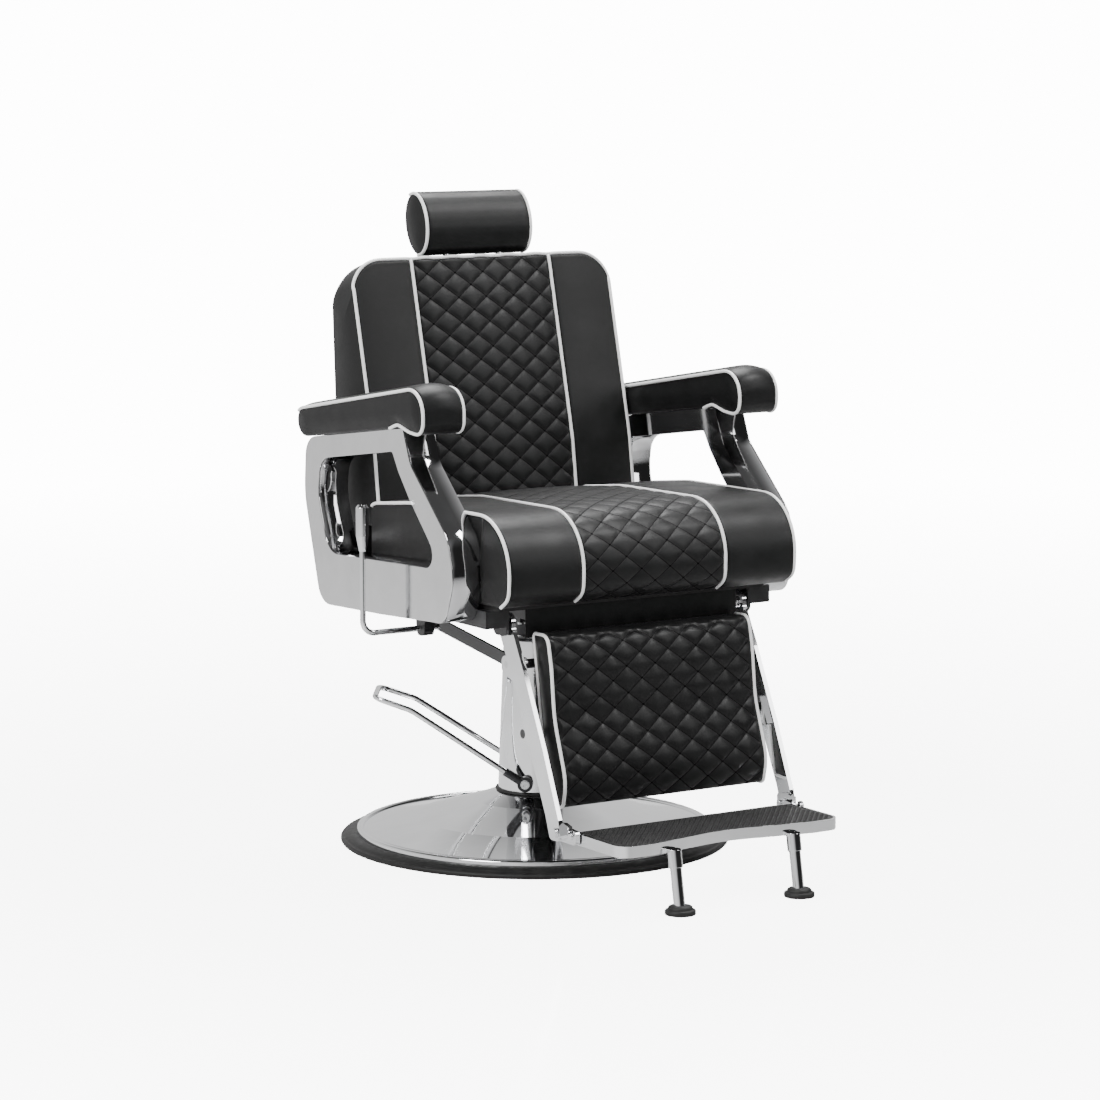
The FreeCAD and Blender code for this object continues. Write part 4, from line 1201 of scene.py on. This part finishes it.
@dataclass
class Base:
    """The turned pieces of the base: disc, rubber ring and column cover."""

    def arc(self, start: tuple, middle: tuple, end: tuple, count: int = 24) -> np.ndarray:
        """Points on the parabola through three points, for a shallow curve.

        With t from 0 to 1, a point is a (1 - t)(1 - 2t) + b 4t (1 - t) + c t (2t - 1).

        Args:
            start: The point a, as (radius, height).
            middle: The point b.
            end: The point c.
            count: How many points are made.

        Returns:
            The points, count by 2.
        """
        t = np.linspace(0, 1, count)[:, None]
        a, b, c = (np.array(point, float) for point in (start, middle, end))
        return a * (1 - t) * (1 - 2 * t) + b * 4 * t * (1 - t) + c * t * (2 * t - 1)

    def bend(self, centre: tuple, radii: tuple, start: float, end: float, count: int) -> np.ndarray:
        """Points on an ellipse: the centre plus (radii[0] * cos t, radii[1] * sin t).

        Args:
            centre: The ellipse's middle, as (radius, height).
            radii: Its two radii.
            start: The first t, in half turns.
            end: The last t, in half turns.
            count: How many points are made.

        Returns:
            The points, count by 2.
        """
        turn = np.linspace(start * math.pi, end * math.pi, count)
        across, up = radii[0] * np.cos(turn), radii[1] * np.sin(turn)
        return np.stack([centre[0] + across, centre[1] + up], axis=1)

    def build(self, finishes: Finishes) -> None:
        """Turn the three pieces and dress them.

        Args:
            finishes: The chair's finishes.
        """
        disc = lathe("base_disc_shell", self.disc(), 256)
        self.finish(disc, "base_disc", "mirror_chrome", finishes)
        ring = lathe("rubber_ring", self.ring(), 256)
        self.finish(ring, "base_rubber_ring", "black_rubber", finishes)
        column = lathe("column_shell", self.column(), 160)
        self.finish(column, "column_cover", "mirror_chrome", finishes)

    def disc(self) -> np.ndarray:
        """The disc's profile: a beaded lip, then a shallow dome that rises to the column's neck."""
        low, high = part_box("base_disc")
        rim, floor = high.x, low.z
        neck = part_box("column_collar")[1].x - 4 * MM
        lip = rim - 10 * MM
        dome = self.arc((lip - 4 * MM, floor + 10 * MM), (180 * MM, 52 * MM), (neck, high.z), 48)
        bead = self.bend((lip + 4.5 * MM, floor + 8 * MM), (5.5 * MM, 4.5 * MM), 0, 1, 13)
        return np.vstack([
            [(rim, floor)], bead, [(lip - 2.2 * MM, floor + 8.2 * MM)], dome,
            [(neck, high.z - 3 * MM), (rim - 6 * MM, floor)],
        ])

    def ring(self) -> np.ndarray:
        """The rubber ring's profile: a round side under a slope that runs in to the disc's rim."""
        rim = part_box("base_disc")[1].x
        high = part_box("base_rubber_ring")[1]
        side = self.bend((high.x - 5 * MM, 5 * MM), (5 * MM, 5 * MM), -0.5, 0.5, 13)
        slope = self.arc((high.x - 7 * MM, 10.6 * MM), (high.x - 15 * MM, 15.5 * MM),
                         (rim + 3 * MM, high.z), 10)
        return np.vstack([side, slope, [(rim, high.z - 1 * MM), (rim, 0)]])

    def column(self) -> np.ndarray:
        """The column cover's profile: a tapered wall, a rounded top edge and the hollow inside."""
        low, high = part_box("column_cover")
        foot, top, bore = 65 * MM, 55 * MM, 23 * MM
        wall = self.arc((foot, low.z), (60 * MM, (low.z + high.z) / 2), (top, high.z - 3 * MM), 40)
        crown = self.bend((top - 3 * MM, high.z - 3 * MM), (3 * MM, 3 * MM), 0, 0.5, 6)[1:]
        inner = [(bore, high.z), (bore, high.z - 4 * MM), (foot - 12 * MM, high.z - 4 * MM),
                 (foot - 4 * MM, low.z)]
        return np.vstack([wall, crown, inner])

    def finish(self, piece: bpy.types.Object, node: str, slot: str, finishes: Finishes) -> None:
        """Dress a turned piece and stand it for its CAD node.

        Args:
            piece: The turned piece.
            node: The CAD node that it replaces.
            slot: The record's slot.
            finishes: The chair's finishes.
        """
        shade_by_angle(piece, 40)
        finishes.dress(piece, slot)
        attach(piece, "base")
        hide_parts(node)
        LOG.info("turned %s", piece.name)


@dataclass
class Softened:
    """Hard parts whose CAD shape is right: a merged copy with its edges eased by a bevel.

    Widths are the bevels' in millimetres. Edges sharper than bevel_angle degrees are eased.
    """

    bevel_angle: float = 38
    sharp_angle: float = 35
    crowned: tuple[str, ...] = ("right_arm_frame", "left_arm_frame")
    widths: dict[str, float] = field(default_factory=lambda: {
        "right_arm_frame": 1.0, "left_arm_frame": 1.0,
        "right_arm_face_plate": 1.1, "left_arm_face_plate": 1.1,
        "right_legrest_bar": 1.0, "left_legrest_bar": 1.0, "link_bars": 0.8, "lever_grip": 1.0,
        "footrest_frame": 0.8, "leg_sleeves": 0.8,
        "pedal_brackets": 1.2, "back_hinge_arms": 0.6, "seat_under_frame": 0.6, "right_side_rail": 0.8,
        "left_side_rail": 0.8, "swivel_hub": 1.2, "mounting_plate": 0.8, "lever_bracket": 0.8,
        "footrest_pivot_bolts": 0.8, "legrest_pivot_bolts": 0.8, "column_collar": 0.4,
    })

    def build(self, finishes: Finishes) -> None:
        """Copy, merge, bevel and dress each part.

        Args:
            finishes: The chair's finishes.
        """
        slots = {row["node"]: row["material_slot"] for row in frame["record"]["subparts"]}
        groups = frame["record"]["behaviour"]["bodies"].items()
        bodies = {node: body for body, nodes in groups for node in nodes}
        for node, width in self.widths.items():
            piece = self.copy(node)
            bevel = piece.modifiers.new("bevel", "BEVEL")
            bevel.width = width * MM
            bevel.segments = 2
            bevel.limit_method = "ANGLE"
            bevel.angle_limit = math.radians(self.bevel_angle)
            self.apply(piece)
            shade_by_angle(piece, self.sharp_angle)
            even = piece.modifiers.new("even", "WEIGHTED_NORMAL")
            even.keep_sharp = True
            even.weight = 100
            self.apply(piece)
            finishes.dress(piece, "arm_shell" if node in self.crowned else slots[node])
            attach(piece, bodies[node])
            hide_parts(node)
            LOG.info("softened %s", node)
        for node, slot in slots.items():
            finishes.dress(frame["nodes"][node], slot)

    def copy(self, node: str) -> bpy.types.Object:
        """A merged copy of a CAD node's mesh, its flat faces made whole."""
        mesh = frame["nodes"][node].data.copy()
        mesh.name = node + "_part"
        shape = bmesh.new()
        shape.from_mesh(mesh)
        bmesh.ops.remove_doubles(shape, verts=shape.verts, dist=1e-6)
        bmesh.ops.dissolve_limit(shape, angle_limit=math.radians(1.0), verts=shape.verts, edges=shape.edges)
        shape.to_mesh(mesh)
        shape.free()
        piece = bpy.data.objects.new(node + "_part", mesh)
        bpy.context.scene.collection.objects.link(piece)
        return piece

    def apply(self, piece: bpy.types.Object) -> None:
        """Make a piece's modifiers part of its mesh."""
        bpy.context.view_layer.update()
        evaluated = piece.evaluated_get(bpy.context.evaluated_depsgraph_get())
        mesh = bpy.data.meshes.new_from_object(evaluated)
        piece.modifiers.clear()
        piece.data = mesh


@dataclass
class UnderSeatShadeSheet:
    """A black sheet hung under the seat board's front edge as painted shade: it stands for the dark shadow
    under the seat and hides the bright gap behind it.
    """

    half: float = 215 * MM
    drop: float = 50 * MM
    thick: float = 1.6 * MM
    behind: float = 8 * MM
    wave: float = 1.2 * MM

    def build(self, finishes: Finishes) -> None:
        """Hang the sheet: x and z run over a grid, and y waves by wave * sin(10 pi x / half) at its hem.

        Args:
            finishes: The chair's finishes.
        """
        low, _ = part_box("seat_board")
        count = 121
        x = np.linspace(-self.half, self.half, count)
        t = np.linspace(0, 1, 9)
        t, x = np.meshgrid(t, x, indexing="ij")
        y = low.y + self.behind + self.wave * t * np.sin(10 * math.pi * x / self.half)
        z = low.z - self.drop * t
        front = np.stack([x, y, z], axis=2)
        sheet = np.concatenate([front, front[::-1] + (0, self.thick, 0)])
        faces = grid_faces(len(sheet), count, True, False).tolist()
        faces += [[row * count + column for row in range(len(sheet))] for column in (0, count - 1)]
        made = mesh_object("under_seat_shade_sheet", sheet, faces)
        outward(made)
        shade_by_angle(made, 50)
        # Painted shade: the sheet's black leather stands for the shadow under the seat's front.
        finishes.dress(made, "black_leather")
        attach(made, "seat")
        LOG.info("under_seat_shade_sheet")


@dataclass
class Feet:
    """The footrest's two rubber feet: a wide sole under a smaller turned boss."""

    profile: tuple[tuple[float, float], ...] = (
        (1.0, 0.0), (25.0, 0.0), (25.6, 1.0), (25.6, 6.2), (24.6, 7.6), (21.5, 8.4), (20.6, 9.2),
        (20.2, 12.0), (18.6, 13.8), (15.0, 14.8), (1.0, 15.0),
    )

    def build(self, finishes: Finishes) -> None:
        """Turn both feet: each point (radius, height) of the side is carried round the foot's middle.

        Args:
            finishes: The chair's finishes.
        """
        for side in ("right", "left"):
            low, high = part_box(side + "_rubber_foot")
            foot = lathe(side + "_foot", np.array(self.profile) * MM, 64)
            foot.data.transform(Matrix.Translation(((low.x + high.x) / 2, (low.y + high.y) / 2, low.z)))
            shade_by_angle(foot, 40)
            finishes.dress(foot, "black_rubber")
            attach(foot, side + "_leg")
            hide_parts(side + "_rubber_foot")
            LOG.info("turned %s", foot.name)


@dataclass
class TreadMat:
    """The footrest mat's tread: rows of small raised lozenges, every other row shifted by half a pitch."""

    pitch_x: float = 11.0 * MM
    pitch_y: float = 6.4 * MM
    half_x: float = 4.6 * MM
    half_y: float = 2.5 * MM
    height: float = 1.1 * MM
    margin: float = 1.0 * MM
    sunk: float = 0.2 * MM
    taper: float = 0.62

    def build(self, finishes: Finishes) -> None:
        """Lay the lozenges wherever all four tips stand on the sheet.

        Args:
            finishes: The chair's finishes.
        """
        sheet = frame["nodes"]["footrest_mat"]
        low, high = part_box("footrest_mat")
        rows = np.arange(low.y, high.y, self.pitch_y)
        columns = np.arange(low.x, high.x, self.pitch_x)
        y, x = np.meshgrid(rows, columns, indexing="ij")
        x = x + (np.arange(len(rows)) % 2)[:, None] * self.pitch_x / 2
        centres = np.stack([x.ravel(), y.ravel()], axis=1)
        reach = np.array([(1, 0), (0, 1), (-1, 0), (0, -1)], float)
        tips = reach * (self.half_x + self.margin, self.half_y + self.margin)
        probe = (centres[:, None] + tips[None]).reshape(-1, 2)
        tree = BVHTree.FromPolygons([v.co[:] for v in sheet.data.vertices],
                                    [p.vertices[:] for p in sheet.data.polygons])
        down, above, reach_down = Vector((0, 0, -1)), 0.05, 0.052
        hits = [tree.ray_cast(Vector((a, b, high.z + above)), down, reach_down)[0] for a, b in probe]
        whole = np.array([hit is not None for hit in hits]).reshape(-1, 4).all(axis=1)
        kept = centres[whole]
        foot = reach * (self.half_x, self.half_y)
        crown = foot * self.taper
        level = np.ones((len(kept), 4, 1))
        base = np.concatenate([kept[:, None] + foot, level * (high.z - self.sunk)], axis=2)
        top = np.concatenate([kept[:, None] + crown, level * (high.z + self.height)], axis=2)
        points = np.concatenate([base, top], axis=1).reshape(-1, 3)
        unit = np.array([(0, 1, 5, 4), (1, 2, 6, 5), (2, 3, 7, 6), (3, 0, 4, 7), (4, 5, 6, 7),
                         (3, 2, 1, 0)])
        faces = (np.arange(len(kept))[:, None, None] * 8 + unit[None]).reshape(-1, 4)
        studs = mesh_object("mat_tread", points, faces, False)
        finishes.dress(studs, "black_rubber")
        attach(studs, "footrest")
        LOG.info("tread of %d lozenges", len(kept))


# Stage --------------------------------------------------------------------------------------------

@dataclass
class Studio:
    """Floor, soft lights and camera.

    A light is its name, its place, its side in metres and its power in watts. A band holds the two
    values between which the floor clears or the surround darkens.
    """

    lens: float = 126.0
    place: tuple[float, float, float] = (-3.6107, -5.6745, 1.4383)
    yaw: float = 32.7
    pitch: float = -7.8
    far: float = 400.0
    lights: tuple[tuple[str, tuple[float, float, float], float, float], ...] = (
        ("key", (1.9, -1.9, 3.9), 1.5, 132),
        ("front", (2.5, -3.4, 2.1), 1.6, 42),
        ("top", (0.9, 1.2, 4.3), 2.2, 285),
        ("left", (-3.8, -1.2, 3.4), 1.8, 225),
    )
    aim: tuple[float, float, float] = (0, 0, 0.6)
    floor_half: float = 80.0
    floor_cover: float = 0.5
    floor_band: tuple[float, float] = (0.9, 5.5)
    backdrop: float = 14.0
    surround: float = 1.15
    ceiling: float = 0.12
    dark_level: float = 0.03
    dark_side: tuple[float, float] = (0.66, -0.75)
    dark_band: tuple[float, float] = (0.05, 0.62)
    overhead_band: tuple[float, float] = (0.45, 0.80)

    def build(self) -> None:
        """Set the stage."""
        self.floor()
        self.world()
        for name, place, size, power in self.lights:
            self.light(name, place, size, power)
        self.camera()

    def floor(self) -> None:
        """A wide pale floor, which clears outwards so that it melts into the white surround."""
        side = np.array([(-1, -1, 0), (1, -1, 0), (1, 1, 0), (-1, 1, 0)], float)
        piece = mesh_object("floor", side * self.floor_half, [[0, 1, 2, 3]], False)
        kit = Kit("floor")
        dust = kit.noise(0.4, 3.0, 0.5)
        away = kit.node("VectorMath", {"operation": "LENGTH"}, {0: kit.place()})
        kit.set(
            Base_Color=kit.mix(kit.step(dust, 0.3, 0.7), (0.90, 0.90, 0.90), (0.93, 0.93, 0.93)),
            Roughness=kit.step(dust, 0.3, 0.7, 0.10, 0.14),
            Alpha=kit.step(Value(kit, away.outputs["Value"]), *self.floor_band, self.floor_cover, 0.0),
        )
        piece.data.materials.append(kit.material)

    def world(self) -> None:
        """A white surround; what metal and leather see of it is dark towards the dark side and overhead.

        The dark share is a step of the direction's dot product with the dark side's own level direction.
        """
        world = bpy.data.worlds.new("studio")
        bpy.context.scene.world = world
        world.use_nodes = True
        kit = Tree(world.node_tree)
        way = kit.node("TexCoord").outputs["Generated"]
        split = kit.node("SeparateXYZ", None, {0: way})
        x, y, z = (Value(kit, split.outputs[k]) for k in range(3))
        facing = x * self.dark_side[0] + y * self.dark_side[1]
        dark = kit.step(facing, *self.dark_band)
        wall = kit.step(dark, 0.0, 1.0, self.surround, self.dark_level)
        up = kit.step(z, *self.overhead_band)
        walls = kit.node("Background", None, {"Strength": wall * (1.0 - up) + up * self.ceiling})
        white = kit.node("Background", None, {"Color": (1, 1, 1, 1), "Strength": self.backdrop})
        path = kit.node("LightPath")
        choose = kit.node("MixShader", None, {0: path.outputs["Is Camera Ray"], 1: walls.outputs[0],
                                              2: white.outputs[0]})
        output = kit.node("OutputWorld")
        kit.put(output.inputs["Surface"], choose.outputs[0])

    def light(self, name: str, place: tuple[float, float, float], size: float, power: float) -> None:
        """A square soft light that looks at the chair's middle.

        Args:
            name: The light's name.
            place: Where it hangs.
            size: Its side.
            power: Its power in watts.
        """
        lamp = bpy.data.lights.new(name, "AREA")
        lamp.energy = power
        lamp.size = size
        obj = bpy.data.objects.new(name, lamp)
        obj.location = place
        way = Vector(self.aim) - Vector(place)
        obj.rotation_euler = way.to_track_quat("-Z", "Y").to_euler()
        bpy.context.scene.collection.objects.link(obj)

    def camera(self) -> None:
        """The camera, at the sitter's front right and a little above."""
        data = bpy.data.cameras.new("camera")
        data.lens = self.lens
        data.sensor_width = 36.0
        data.clip_end = self.far
        obj = bpy.data.objects.new("camera", data)
        obj.location = self.place
        obj.rotation_euler = Euler((math.radians(90 + self.pitch), 0, math.radians(-self.yaw)))
        bpy.context.scene.collection.objects.link(obj)
        bpy.context.scene.camera = obj


def main() -> None:
    """Build every sub-assembly in order."""
    logging.basicConfig(level=logging.INFO, format="%(message)s")
    finishes = Finishes()
    finishes.build()
    Studio().build()
    Base().build(finishes)
    Softened().build(finishes)
    Feet().build(finishes)
    TreadMat().build(finishes)
    UnderSeatShadeSheet().build(finishes)
    for pad in make_pads():
        pad.build(finishes)
    Headrest().build(finishes)


if __name__ == "__main__":
    main()
